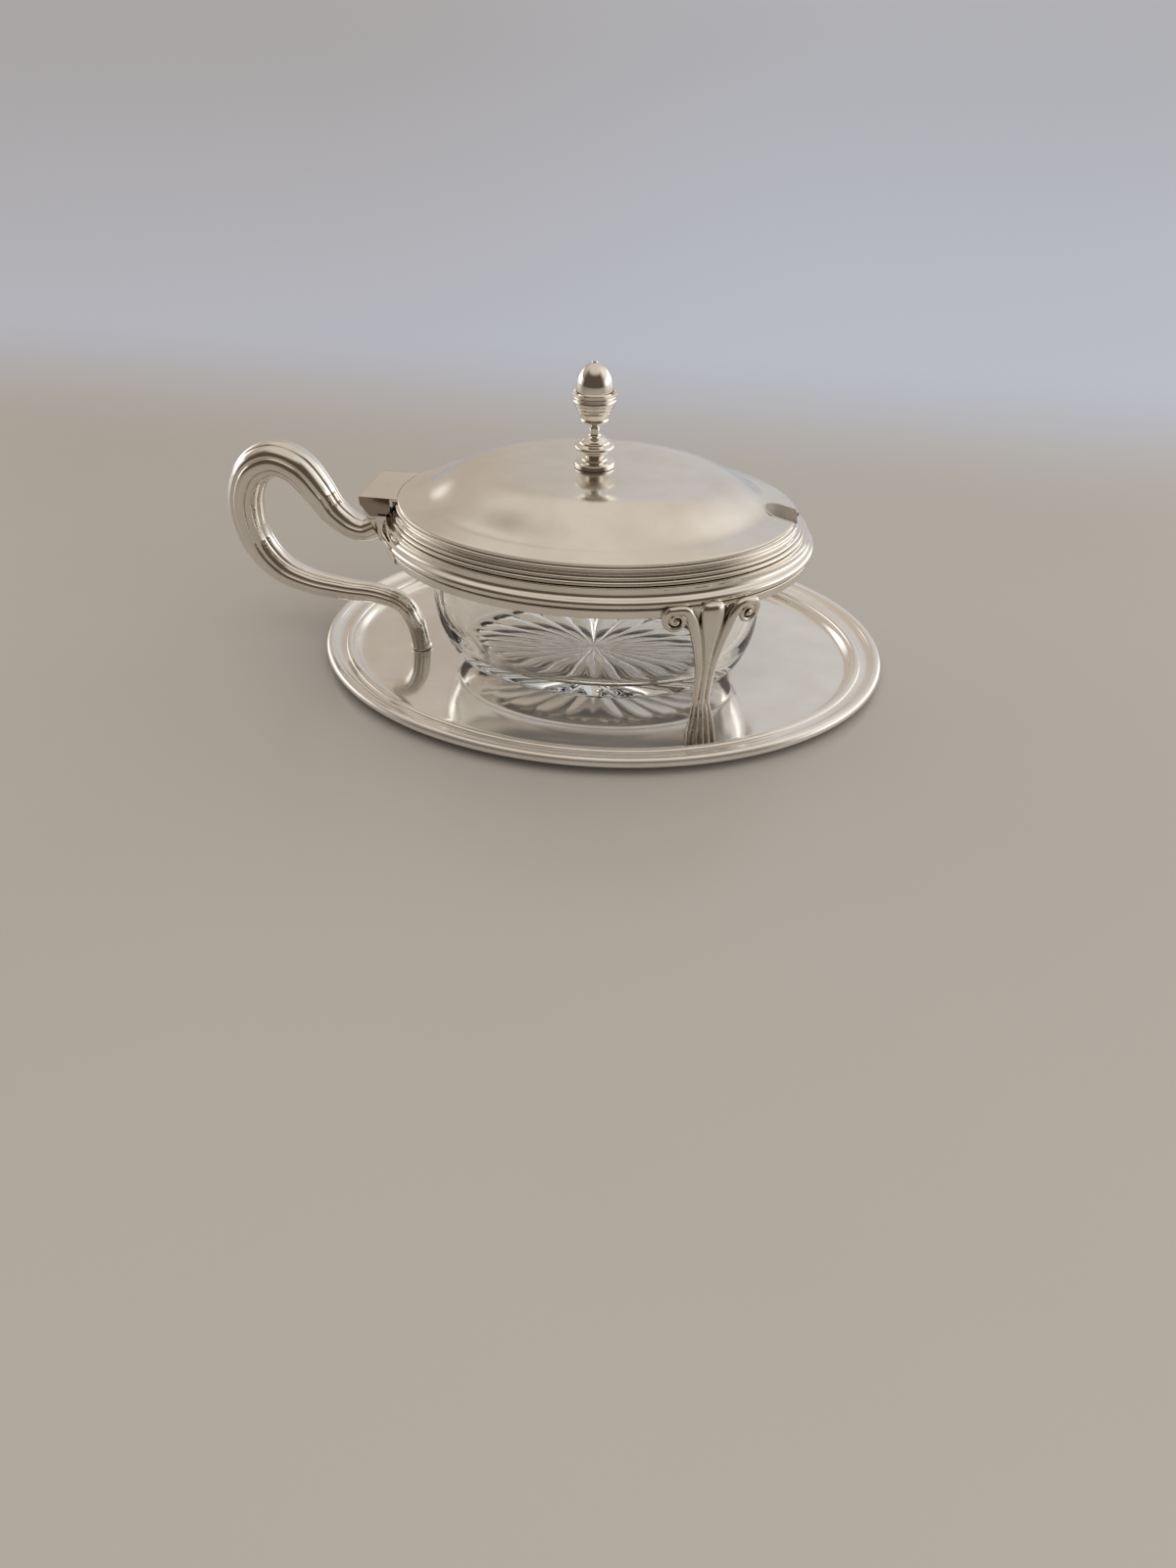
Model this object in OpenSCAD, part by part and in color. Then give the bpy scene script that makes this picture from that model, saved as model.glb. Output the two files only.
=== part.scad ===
/* [Tray] */
// Overall length of the oval tray
tray_len = 160; // [120:1:220]
// Overall width of the oval tray
tray_wid = 127; // [100:1:180]
// Thickness of the tray floor
tray_t = 1.2; // [0.8:0.1:2]
// Width of the raised rim, from the floor's edge to the outer edge
tray_rim_w = 11.2; // [10.8:0.1:18]
// Width of the rim's slope from the floor up to the flange
tray_slope_w = 2.6; // [1.6:0.1:4]
// Height of the rim's flange above the table, at its top face
tray_flange_z = 3.2; // [2.6:0.1:6]
// Thickness of the rim's flange
tray_flange_t = 1; // [0.7:0.1:1.6]
// Radius of the round wire along the tray's edge
tray_bead_r = 1.5; // [1:0.1:2.2]
// Width of the moulding inside that wire
tray_cove_w = 5.2; // [3:0.1:7]

/* [Stand] */
// Gap between the front paw's toes and the edge of the tray's floor
toe_gap = 0.36; // [0.2:0.02:20]
// Distance of the stand's middle from the tray's middle, towards the notch
stand_side = 0.5; // [-4:0.1:4]
// Height of the frame's underside above the soles
stand_h = 37.8; // [30:0.2:50]
// Length of the lid's edge, which the frame follows
lid_len = 104; // [90:1:130]
// Width of the lid's edge
lid_wid = 76; // [64:1:96]
// Height of the frame's band
band_h = 6.1; // [5.5:0.1:8]
// Thickness of the band's upright wall
band_t = 1.2; // [0.8:0.1:1.8]
// Distance of the wall's outer face outside the lid's edge
band_out = 2.8; // [2.4:0.1:4]
// Thickness of the shelf that carries the glass
shelf_t = 1.4; // [1:0.1:2]
// Distance of the shelf's outer face outside the lid's edge
shelf_out = 4.5; // [4:0.1:5.5]
// Radius of the round wire on the shelf's edge
frame_bead_r = 1.15; // [0.8:0.05:1.4]
// Height of the moulding along the band's top edge
frame_cove_h = 2.2; // [1.6:0.1:2.6]
// Depth of that moulding
frame_cove_w = 1.4; // [0.8:0.1:2]

/* [Legs] */
// Angle of a leg round the frame's side arc, from the lid's long axis
leg_angle = 60; // [55:0.1:80]
// Distance of a leg's middle outside the lid's edge
leg_out = 0.5; // [-1:0.1:1]
// Half width of a leg under the frame
leg_top_hw = 8; // [6:0.1:10]
// Half width of a leg at the ankle
leg_ankle_hw = 2.2; // [1.6:0.1:3]
// Height of the ankle above the sole
leg_ankle_z = 11.5; // [8:0.1:16]
// Half width of the paw
leg_paw_hw = 4; // [3:0.1:5]
// Half depth of a leg's shaft
leg_hd = 2; // [1.5:0.1:3]
// Half distance between the two scrolls
scroll_y = 9.5; // [8:0.1:12]
// Radius of a scroll
scroll_r = 2.9; // [2:0.1:3.6]
// Length of a scroll, front to back
scroll_l = 4; // [3:0.1:6]

/* [Handle] */
// Distance from the hinge bracket to the far side of the loop's middle line
handle_reach = 38; // [30:0.2:50]
// Height of the loop's middle line above the joint at the bracket
handle_rise = 18.6; // [12:0.2:26]
// Width of the strap at the loop's top
handle_w = 11.4; // [7:0.1:13]
// Thickness of the strap at the loop's top
handle_t = 6.8; // [4:0.1:8]
// Width of the strap at its ends
handle_end_w = 5.4; // [4:0.1:8]
// Thickness of the strap at its ends
handle_end_t = 3.6; // [2.5:0.1:5]
// Depth of the two grooves along the strap
handle_groove = 0.55; // [0.2:0.05:0.9]
// Height of the handle's joint below the frame's underside
handle_drop = 2.8; // [2.6:0.1:8]
// Radius of the foot under the handle
handle_foot_r = 3.2; // [2.8:0.1:5]
// Height of that foot
handle_foot_h = 1.8; // [1:0.1:3]

/* [Glass] */
// Height of the glass bowl's base above the soles
glass_z = 4.2; // [2:0.1:10]
// Distance of the bowl's wall inside the lid's edge, at the shelf
glass_in = 6.8; // [6:0.1:9]
// Distance of the bowl's base edge inside the lid's edge
glass_base_in = 12.6; // [10:0.1:16]
// Thickness of the bowl's wall
glass_wall = 2.8; // [2:0.1:4]
// Thickness of the bowl's base
glass_base_t = 4.4; // [3:0.1:7]
// Height of the bowl's rim
glass_rim_h = 2.7; // [2:0.1:3]
// Distance of the bowl's rim inside the lid's edge
glass_rim_in = 0.4; // [0:0.1:2]
// Count of the flutes in the base's star
star_count = 24; // [12:1:32]
// Depth of a flute at the base's edge
star_depth = 1.3; // [0.5:0.1:2]

/* [Lid] */
// Height of the dome above the lid's edge
lid_rise = 9.4; // [5:0.1:16]
// Height of the flat brim's inner edge above its outer edge
lid_brim_rise = 1.8; // [0.5:0.1:4]
// Thickness of the lid's sheet
lid_t = 0.8; // [0.5:0.1:1.2]
// Height of the reeded border
border_h = 3.8; // [2.6:0.1:5]
// Radius of one reed
reed_r = 0.62; // [0.4:0.02:0.8]
// Step outwards from one reed to the next
reed_step = 1; // [0.6:0.05:1.2]
// Width of the border's body, inside the lid's edge
border_in = 2.6; // [2:0.1:4]
// Depth of the lid's inner flange below the border
flange_h = 1.5; // [0.8:0.1:1.6]
// Thickness of the lid's inner flange
flange_t = 1; // [0.6:0.1:1.2]
// Width of the notch for a spoon
notch_w = 9.4; // [6:0.1:14]
// Depth of the notch from the lid's edge
notch_d = 8.6; // [6:0.1:12]

/* [Finial] */
// Radius of the collar on the lid
collar_r = 5.1; // [4:0.1:7]
// Height of the collar
collar_h = 2.6; // [2:0.1:4]
// Height of the stem and cup
cup_h = 16; // [12:0.1:20]
// Radius of the cup's rim
cup_r = 5.75; // [4.5:0.1:7]
// Radius of the stem
stem_r = 1.6; // [1.5:0.1:2.4]
// Height of the acorn
acorn_h = 7.3; // [6:0.1:10]
// Radius of the acorn
acorn_r = 4.4; // [3:0.1:5]
// Radius of the stud that holds the finial
stud_r = 1; // [0.8:0.05:1.2]
// Length of the stud inside the stem
stud_in = 8; // [4:0.1:10]
// Radius of the washer
washer_r = 3.2; // [2.8:0.1:5]
// Thickness of the washer
washer_t = 0.8; // [0.5:0.1:1.2]
// Distance across the nut's flats
nut_af = 4.6; // [4:0.1:6]
// Height of the nut
nut_h = 2.2; // [1.6:0.1:3]

/* [Hinge] */
// Radius of the hinge pin
pin_r = 0.9; // [0.7:0.05:1.2]
// Outer radius of the hinge tubes
tube_r = 2; // [1.8:0.05:2.4]
// Half length of the hinge along the pin
hinge_hy = 8.5; // [8:0.1:12]
// Half length of the lid's tube
tube_lid_hy = 3.5; // [2.5:0.1:5]
// Distance of the pin outside the lid's edge
pin_out = 6.6; // [6.4:0.1:8]
// Distance of the thumb plate's far edge outside the pin
plate_past = 2.4; // [1.5:0.1:2.8]
// Thickness of the thumb plate's cheeks
cheek_t = 0.8; // [0.6:0.1:1.5]
// Depth of the cheeks below the pin's middle
cheek_under = 0.8; // [0.4:0.1:1.2]
// Thickness of the hinge bracket, out from the frame
bracket_t = 3.1; // [2.8:0.1:4]
// Half width of the bracket's lower part
bracket_hy = 4; // [3:0.1:6]

/* [Clearances] */
// Gap between pieces that touch on the real object
seat_gap = 0.05; // [0.02:0.01:0.1]
// Gap between the soles and the tray, and between the lid and the frame
rest_gap = 0.1; // [0.05:0.01:0.2]
// Radial gap of a fixed pin or stud in its hole
fixed_gap = 0.03; // [0.02:0.01:0.05]
// Radial gap of the lid's tube on the pin
run_gap = 0.05; // [0.03:0.01:0.08]
// Gap between moving hinge pieces
hinge_gap = 0.3; // [0.2:0.02:0.4]

/* [Hidden] */
$fn = 96;

silver_c = [0.84, 0.82, 0.78];
glass_c = [0.86, 0.9, 0.9, 0.4];

// An oval is four arcs on a 3-4-5 triangle, so parallel ovals share their centres
tray_k = (tray_len - tray_wid) / 4;
lid_k = (lid_len - lid_wid) / 4;
tray_rho = tray_len / 2 - 3 * tray_k;
lid_rho = lid_len / 2 - 3 * lid_k;

// Heights in the stand, from its soles
shelf_z = stand_h + shelf_t;
band_z = stand_h + band_h;
border_z = band_z + 2 * rest_gap;
lid_z = border_z + border_h;
edge_z = lid_z + lid_t;
dome_z = edge_z + lid_rise;
pin_z = edge_z - lid_t - border_h;
pin_x = -(lid_len / 2 + pin_out);
plate_under = tube_r + 0.25;
plate_t = edge_z - pin_z - plate_under;

// The frame's outermost line and the bracket against it
bead_u = lid_rho + band_out + seat_gap + frame_bead_r;
frame_out = bead_u + frame_bead_r + 3 * lid_k;
bracket_x = -(frame_out + seat_gap + bracket_t);
joint_z = stand_h - handle_drop;

// Where the tray's middle lies, so that the whole part is centred
handle_far = -bracket_x + handle_reach + handle_t / 2 - stand_side;
tray_x = (handle_far - tray_len / 2) / 2;

// The stand is as far in front of the tray's middle as its front toes allow
floor_u = tray_rho - tray_rim_w;
leg_r = lid_rho + 5 * lid_k + leg_out;
toe_r = leg_r + 2.1 * leg_hd;
toe_x = toe_r * cos(leg_angle) + stand_side;
toe_y = toe_r * sin(leg_angle) - 4 * lid_k;
floor_r = floor_u + 5 * tray_k - toe_gap;
stand_forward = sqrt(floor_r * floor_r - toe_x * toe_x) - 4 * tray_k - toe_y;
stand_pos = [tray_x + stand_side, -stand_forward, tray_t + rest_gap];

// Smooth curve through points, with the ends held
function at(pts, i) = pts[min(max(i, 0), len(pts) - 1)];
function smooth(pts, i, t) =
  let (a = at(pts, i - 1), b = at(pts, i), c = at(pts, i + 1), d = at(pts, i + 2))
  0.5 * (2 * b + (c - a) * t + (2 * a - 5 * b + 4 * c - d) * t * t + (3 * b - a - 3 * c + d) * t * t * t);
function curve(pts, steps) = [
  for (i = [0 : len(pts) - 2], j = [0 : steps - 1]) smooth(pts, i, j / steps),
  pts[len(pts) - 1]
];

module end_zone(k, far) {
  polygon([[3 * k, 0], [3 * k + 0.6 * far, -0.8 * far], [3 * k + 0.6 * far, 0.8 * far]]);
}

module side_zone(k, far) {
  polygon([[3 * k, 0], [3 * k + 0.6 * far, 0.8 * far], [-3 * k - 0.6 * far, 0.8 * far], [-3 * k, 0]]);
}

module oval(k, rho) {
  far = 3 * (rho + 5 * k);
  for (turn = [0, 180]) rotate(turn) {
    intersection() {
      translate([3 * k, 0]) circle(rho);
      end_zone(k, far);
    }
    intersection() {
      translate([0, -4 * k]) circle(rho + 5 * k);
      side_zone(k, far);
    }
  }
}

module oval_sweep(k, far, top) {
  for (turn = [0, 180]) rotate(turn) {
    intersection() {
      translate([3 * k, 0, 0]) rotate_extrude() children();
      translate([0, 0, -top]) linear_extrude(3 * top) end_zone(k, far);
    }
    intersection() {
      translate([0, -4 * k, 0]) rotate_extrude() translate([5 * k, 0]) children();
      translate([0, 0, -top]) linear_extrude(3 * top) side_zone(k, far);
    }
  }
}

module tray_sweep() {
  oval_sweep(tray_k, 4 * tray_len, tray_len) children();
}

module stand_sweep() {
  oval_sweep(lid_k, 4 * lid_len, lid_len) children();
}

module on_tray() {
  translate([tray_x, 0, 0]) children();
}

module on_stand() {
  translate(stand_pos) children();
}

// Tray
flange_u = tray_rho - 2 * tray_bead_r - 2 * seat_gap;
rise_u = floor_u + tray_slope_w;

module tray_plate() {
  color(silver_c) on_tray() {
    linear_extrude(tray_t) oval(tray_k, floor_u - tray_t);
    tray_sweep() polygon([
      [floor_u - tray_t, 0],
      [floor_u + tray_t / 3, 0],
      [rise_u + tray_t / 3, tray_flange_z - tray_flange_t],
      [flange_u, tray_flange_z - tray_flange_t],
      [flange_u, tray_flange_z],
      [rise_u - tray_t / 3, tray_flange_z],
      [floor_u, tray_t],
      [floor_u - tray_t, tray_t]
    ]);
  }
}

module tray_border() {
  cove = tray_bead_r * 0.35;
  in_u = tray_rho - 2 * tray_bead_r - tray_cove_w;
  base = tray_flange_z + seat_gap;
  color(silver_c) on_tray() tray_sweep() {
    translate([tray_rho - tray_bead_r, base + tray_bead_r * 0.2]) circle(tray_bead_r);
    polygon([
      [in_u, base],
      [in_u, base + cove],
      [in_u + cove, base + 2 * cove],
      [in_u + 2.5 * cove, base + 2 * cove],
      [in_u + 3.5 * cove, base + cove],
      [tray_rho - 2 * tray_bead_r - cove, base + cove],
      [tray_rho - 1.6 * tray_bead_r, base + 2 * cove],
      [tray_rho - 1.6 * tray_bead_r, base]
    ]);
  }
}

// Frame
module frame_band() {
  in_u = lid_rho - glass_in + 2 * hinge_gap;
  color(silver_c) on_stand() stand_sweep() polygon([
    [in_u, stand_h],
    [lid_rho + shelf_out, stand_h],
    [lid_rho + shelf_out, shelf_z],
    [lid_rho + band_out, shelf_z],
    [lid_rho + band_out, band_z],
    [lid_rho + band_out - band_t, band_z],
    [lid_rho + band_out - band_t, shelf_z],
    [in_u, shelf_z]
  ]);
}

module frame_upper_moulding() {
  u = lid_rho + band_out + seat_gap;
  z = band_z - frame_cove_h;
  color(silver_c) on_stand() stand_sweep() polygon([
    [u, z],
    [u + frame_cove_w, z],
    [u + frame_cove_w, z + frame_cove_h * 0.25],
    [u + frame_cove_w * 0.75, z + frame_cove_h * 0.5],
    [u + frame_cove_w * 0.3, z + frame_cove_h * 0.7],
    [u + frame_cove_w * 0.3, z + frame_cove_h],
    [u, z + frame_cove_h]
  ]);
}

module frame_bead() {
  color(silver_c) on_stand() stand_sweep()
    translate([bead_u, shelf_z + seat_gap + frame_bead_r]) circle(frame_bead_r);
}

// Legs
leg_turn = -leg_angle;
leg_pos = [leg_r * cos(leg_turn), 4 * lid_k + leg_r * sin(leg_turn), 0];
scroll_z = stand_h - scroll_r - 2 * seat_gap;
leg_top = stand_h - seat_gap;
leg_zs = [for (f = [0, 0.2, 0.45, 0.7]) f * leg_ankle_z];
shaft_zs = [for (f = [0, 0.2, 0.4, 0.6, 0.75, 0.88, 0.95, 1]) leg_ankle_z + f * (leg_top - leg_ankle_z)];
leg_levels = concat(leg_zs, shaft_zs);
leg_hws = concat(
  [for (f = [1, 1, 0.8, 0.3]) leg_ankle_hw + f * (leg_paw_hw - leg_ankle_hw)],
  [for (f = [0, 0.05, 0.17, 0.34, 0.52, 0.83, 1, 0.95]) leg_ankle_hw + f * (leg_top_hw - leg_ankle_hw)]
);
leg_hds = [for (f = [1.6, 1.55, 1.25, 0.95, 0.85, 0.85, 0.9, 0.95, 1, 1, 1, 1]) f * leg_hd];
leg_cxs = [for (f = [0.5, 0.5, 0.25, -0.2, -0.5, -0.5, -0.4, -0.25, -0.1, 0, 0, 0]) f * leg_hd];
leg_sides = 28;

function leg_rib(c, paw) = paw ? 0.8 - 0.2 * cos(720 * c) : 0.82 + 0.18 * cos(540 * c);
function leg_ring(i) = [
  for (j = [0 : leg_sides - 1])
    let (a = 360 * j / leg_sides, c = cos(a), s = sin(a))
    [leg_cxs[i] + leg_hds[i] * (s > 0 ? pow(s, 0.6) * leg_rib(c, i < 4) : -0.8 * pow(-s, 0.6)),
     leg_hws[i] * c, leg_levels[i]]
];

module leg_shaft() {
  rings = len(leg_levels);
  pts = [for (i = [0 : rings - 1]) each leg_ring(i)];
  sides = [
    for (i = [0 : rings - 2], j = [0 : leg_sides - 1])
      let (k = (j + 1) % leg_sides, p = i * leg_sides, q = p + leg_sides)
      each [[p + j, q + k, q + j], [p + j, p + k, q + k]]
  ];
  bottom = [[for (j = [0 : leg_sides - 1]) j]];
  top = [[for (j = [leg_sides - 1 : -1 : 0]) (rings - 1) * leg_sides + j]];
  polyhedron(pts, concat(sides, bottom, top));
}

module scroll() {
  rotate([0, 90, 0]) difference() {
    union() {
      cylinder(r = scroll_r, h = scroll_l, center = true);
      translate([0, 0, scroll_l / 2]) cylinder(r1 = scroll_r * 0.36, r2 = scroll_r * 0.2, h = scroll_r * 0.2);
    }
    translate([0, 0, scroll_l / 2 - scroll_r * 0.2]) difference() {
      cylinder(r = scroll_r * 0.72, h = scroll_r);
      translate([0, 0, -scroll_r]) cylinder(r = scroll_r * 0.42, h = 3 * scroll_r);
    }
  }
}

module leg() {
  translate(leg_pos) rotate(leg_turn) {
    leg_shaft();
    for (side = [-1, 1]) translate([0, side * scroll_y, scroll_z]) scroll();
  }
}

module leg_front() {
  color(silver_c) on_stand() leg();
}

module leg_back() {
  color(silver_c) on_stand() mirror([0, 1, 0]) leg();
}

// Handle: each point is a share of the reach, of the joint's height and of the rise
handle_pts = [
  for (p = [
    [0, 1, 0], [0.1, 1, -0.07], [0.23, 1, 0.07], [0.34, 1, 0.29], [0.43, 1, 0.59], [0.55, 1, 0.89],
    [0.71, 1, 1], [0.88, 1, 0.84], [0.98, 1, 0.49], [1, 1, 0.09], [0.95, 0.81, 0], [0.8, 0.61, 0],
    [0.58, 0.51, 0], [0.31, 0.47, 0], [0.06, 0.455, 0], [-0.12, 0.39, 0], [-0.21, 0.24, 0],
    [-0.24, 0.09, 0], [-0.245, 0, 0]
  ])
    [bracket_x - p[0] * handle_reach, 0, p[1] * joint_z + p[2] * handle_rise]
];
handle_swell = [0.05, 0.15, 0.35, 0.6, 0.85, 1, 1, 1, 1, 0.95, 0.8, 0.6, 0.4, 0.25, 0.15, 0.1, 0.1, 0.1, 0.1];
handle_steps = 3;
handle_sides = 18;
handle_line = curve(handle_pts, handle_steps);
handle_size = curve(handle_swell, handle_steps);

function handle_dir(i) =
  i == 0 ? [-1, 0, 0] :
  i == len(handle_line) - 1 ? [0, 0, -1] :
  let (d = handle_line[i + 1] - handle_line[i - 1]) d / norm(d);
function handle_ring(i) =
  let (
    d = handle_dir(i),
    n = [-d[2], 0, d[0]],
    hw = (handle_end_w + handle_size[i] * (handle_w - handle_end_w)) / 2,
    ht = (handle_end_t + handle_size[i] * (handle_t - handle_end_t)) / 2
  ) [
    for (j = [0 : handle_sides - 1])
      let (
        a = 360 * j / handle_sides,
        c = cos(a),
        s = sin(a),
        rib = ht - handle_groove * handle_size[i] * (0.5 - 0.5 * cos(540 * c)),
        up = sign(s) * pow(abs(s), 0.6) * (abs(c) < 0.01 ? ht : rib)
      )
      handle_line[i] + [0, hw * c, 0] + n * up
  ];

module handle_strap() {
  rings = len(handle_line);
  m = handle_sides;
  pts = [for (i = [0 : rings - 1]) each handle_ring(i)];
  sides = [
    for (i = [0 : rings - 2], j = [0 : m - 1])
      let (k = (j + 1) % m, p = i * m, q = p + m)
      each [[p + j, q + k, q + j], [p + j, p + k, q + k]]
  ];
  first = [[for (j = [0 : m - 1]) j]];
  last = [[for (j = [m - 1 : -1 : 0]) (rings - 1) * m + j]];
  polyhedron(pts, concat(sides, first, last));
}

module handle() {
  foot_x = handle_pts[len(handle_pts) - 1][0];
  color(silver_c) on_stand() {
    translate([-seat_gap, 0, 0]) handle_strap();
    translate([foot_x - seat_gap, 0, 0]) cylinder(r1 = handle_foot_r, r2 = handle_foot_r * 0.7, h = handle_foot_h);
  }
}

// Hinge
module pin_bar(r, half) {
  translate([pin_x, 0, pin_z]) rotate([90, 0, 0]) cylinder(r = r, h = 2 * half, center = true);
}

module hinge_bracket() {
  inner = -(frame_out + seat_gap);
  foot = joint_z - handle_end_w / 2;
  color(silver_c) on_stand() difference() {
    union() {
      translate([bracket_x, -bracket_hy, foot]) cube([inner - bracket_x, 2 * bracket_hy, band_z - band_h / 2 - foot]);
      translate([pin_x - tube_r * 0.7, -hinge_hy, stand_h + shelf_t])
        cube([inner - pin_x + tube_r * 0.7, 2 * hinge_hy, pin_z - stand_h - shelf_t - tube_r * 0.35]);
    }
    pin_bar(tube_r + fixed_gap, 2 * hinge_hy);
    pin_bar(tube_r + hinge_gap, tube_lid_hy + hinge_gap);
  }
}

module frame_knuckles() {
  long = hinge_hy - tube_lid_hy - hinge_gap;
  color(silver_c) on_stand() for (side = [-1, 1]) difference() {
    translate([0, side * (hinge_hy - long / 2), 0]) pin_bar(tube_r, long / 2);
    pin_bar(pin_r + fixed_gap, 2 * hinge_hy);
  }
}

module hinge_pin() {
  color(silver_c) on_stand() pin_bar(pin_r, hinge_hy);
}

// Glass
glass_u = lid_rho - glass_in;
base_u = lid_rho - glass_base_in;
rim_u = lid_rho - glass_rim_in;
sill_z = shelf_z + seat_gap;
bowl_h = sill_z - glass_z;
bowl_line = [[0, 0], [0.26, 0.08], [0.58, 0.2], [0.82, 0.35], [0.94, 0.6], [1, 0.86]];

function bowl_u(f) = base_u + f * (glass_u - base_u);

module glass_liner() {
  inner = base_u - glass_wall;
  heel = glass_base_t * 0.2;
  star_r = base_u + lid_k - glass_wall * 0.6;
  color(glass_c) on_stand() difference() {
    union() {
      translate([0, 0, glass_z]) linear_extrude(glass_base_t) oval(lid_k, inner);
      stand_sweep() polygon(concat(
        [[inner, glass_z], [base_u - heel, glass_z]],
        [for (p = bowl_line) [bowl_u(p[0]), glass_z + max(p[1] * bowl_h, heel)]],
        [
          [glass_u, sill_z],
          [rim_u, sill_z],
          [rim_u, sill_z + glass_rim_h],
          [glass_u - glass_wall, sill_z + glass_rim_h]
        ],
        [
          for (i = [len(bowl_line) - 1 : -1 : 1])
            let (p = bowl_line[i])
            [bowl_u(p[0]) - glass_wall, glass_z + max(p[1] * bowl_h, heel) + glass_base_t]
        ],
        [[inner, glass_z + glass_base_t]]
      ));
    }
    for (i = [0 : star_count - 1])
      translate([0, 0, glass_z]) rotate([0, 0, (i + 0.5) * 360 / star_count]) rotate([0, 90, 0])
        translate([0, 0, star_r * 0.12])
          cylinder(r1 = star_depth * 0.12, r2 = star_depth, h = star_r * 0.8);
  }
}

// Lid
lid_a = lid_len / 2;
brim_s = 0.92;
dome_steps = 22;

function lid_height(s) =
  s < brim_s
    ? lid_brim_rise + (lid_rise - lid_brim_rise) * (0.5 + 0.5 * cos(180 * pow(s / brim_s, 2.6)))
    : lid_brim_rise * (1 - s) / (1 - brim_s);

module notch() {
  cx = lid_a - notch_d + notch_w / 2;
  translate([0, 0, band_z - band_h]) linear_extrude(edge_z + lid_rise) {
    translate([cx, 0]) circle(notch_w / 2);
    translate([cx, -notch_w / 2]) square([lid_a, notch_w]);
  }
}

module lid_dome() {
  past = 1.06;
  color(silver_c) on_stand() difference() {
    intersection() {
      scale([1, lid_wid / lid_len, 1]) rotate_extrude() polygon(concat(
        [for (i = [0 : dome_steps]) let (s = past * i / dome_steps) [s * lid_a, edge_z + lid_height(s)]],
        [for (i = [dome_steps : -1 : 0]) let (s = past * i / dome_steps) [s * lid_a, lid_z + lid_height(s)]]
      ));
      linear_extrude(2 * dome_z) oval(lid_k, lid_rho);
    }
    notch();
    cylinder(r = stud_r + fixed_gap, h = 2 * dome_z);
  }
}

module lid_border() {
  top = lid_z - seat_gap;
  lift = (border_h - 2 * reed_r) / 2;
  color(silver_c) on_stand() difference() {
    stand_sweep() {
      for (i = [0 : 2])
        translate([lid_rho - reed_r / 2 + (2 - i) * reed_step, border_z + reed_r + i * lift - i * seat_gap])
          circle(reed_r);
      polygon([
        [lid_rho - border_in, border_z],
        [lid_rho - reed_r / 2 + 2 * reed_step, border_z],
        [lid_rho - reed_r / 2 + 2 * reed_step, border_z + reed_r],
        [lid_rho - reed_r / 2, top - reed_r],
        [lid_rho - reed_r / 2, top],
        [lid_rho - border_in, top]
      ]);
    }
    notch();
  }
}

module lid_flange() {
  out_u = lid_rho + band_out - band_t - 1.4 * hinge_gap;
  color(silver_c) on_stand() difference() {
    stand_sweep() translate([out_u - flange_t, border_z - seat_gap - flange_h]) square([flange_t, flange_h]);
    notch();
  }
}

module thumb_plate() {
  left = pin_x - plate_past;
  right = pin_x + tube_r;
  under = pin_z + plate_under;
  low = pin_z - cheek_under;
  root = lid_a * 0.9;
  plate_hy = hinge_hy + hinge_gap + cheek_t;
  color(silver_c) on_stand() difference() {
    union() {
      translate([left, -plate_hy, under]) cube([-left - root, 2 * plate_hy, plate_t]);
      for (y = [-plate_hy, plate_hy - cheek_t])
        translate([0, y + cheek_t, 0]) rotate([90, 0, 0]) linear_extrude(cheek_t) polygon([
          [left + plate_past / 2, low],
          [right, low],
          [right, under + plate_t / 2],
          [left, under + plate_t / 2],
          [left, under]
        ]);
      translate([pin_x - tube_r * 0.6, -tube_lid_hy, pin_z + tube_r * 0.3])
        cube([1.2 * tube_r, 2 * tube_lid_hy, under - pin_z]);
    }
    linear_extrude(lid_z) oval(lid_k, lid_rho + reed_r / 2 + reed_step);
    linear_extrude(2 * edge_z) oval(lid_k, lid_rho + seat_gap);
    pin_bar(tube_r + fixed_gap, tube_lid_hy + hinge_gap);
  }
}

module lid_knuckle() {
  color(silver_c) on_stand() difference() {
    pin_bar(tube_r, tube_lid_hy);
    pin_bar(pin_r + run_gap, 2 * tube_lid_hy);
  }
}

// Finial
collar_z = dome_z + seat_gap;
cup_z = collar_z + collar_h + seat_gap;
acorn_z = cup_z + cup_h + seat_gap;
stud_bore = stud_r + fixed_gap;

module finial_collar() {
  color(silver_c) on_stand() translate([0, 0, collar_z]) rotate_extrude() polygon([
    [stud_bore, 0],
    [collar_r * 0.94, 0],
    [collar_r, collar_h * 0.18],
    [collar_r, collar_h * 0.38],
    [collar_r * 0.86, collar_h * 0.56],
    [collar_r * 0.62, collar_h * 0.62],
    [collar_r * 0.62, collar_h * 0.84],
    [collar_r * 0.5, collar_h],
    [stud_bore, collar_h]
  ]);
}

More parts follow.
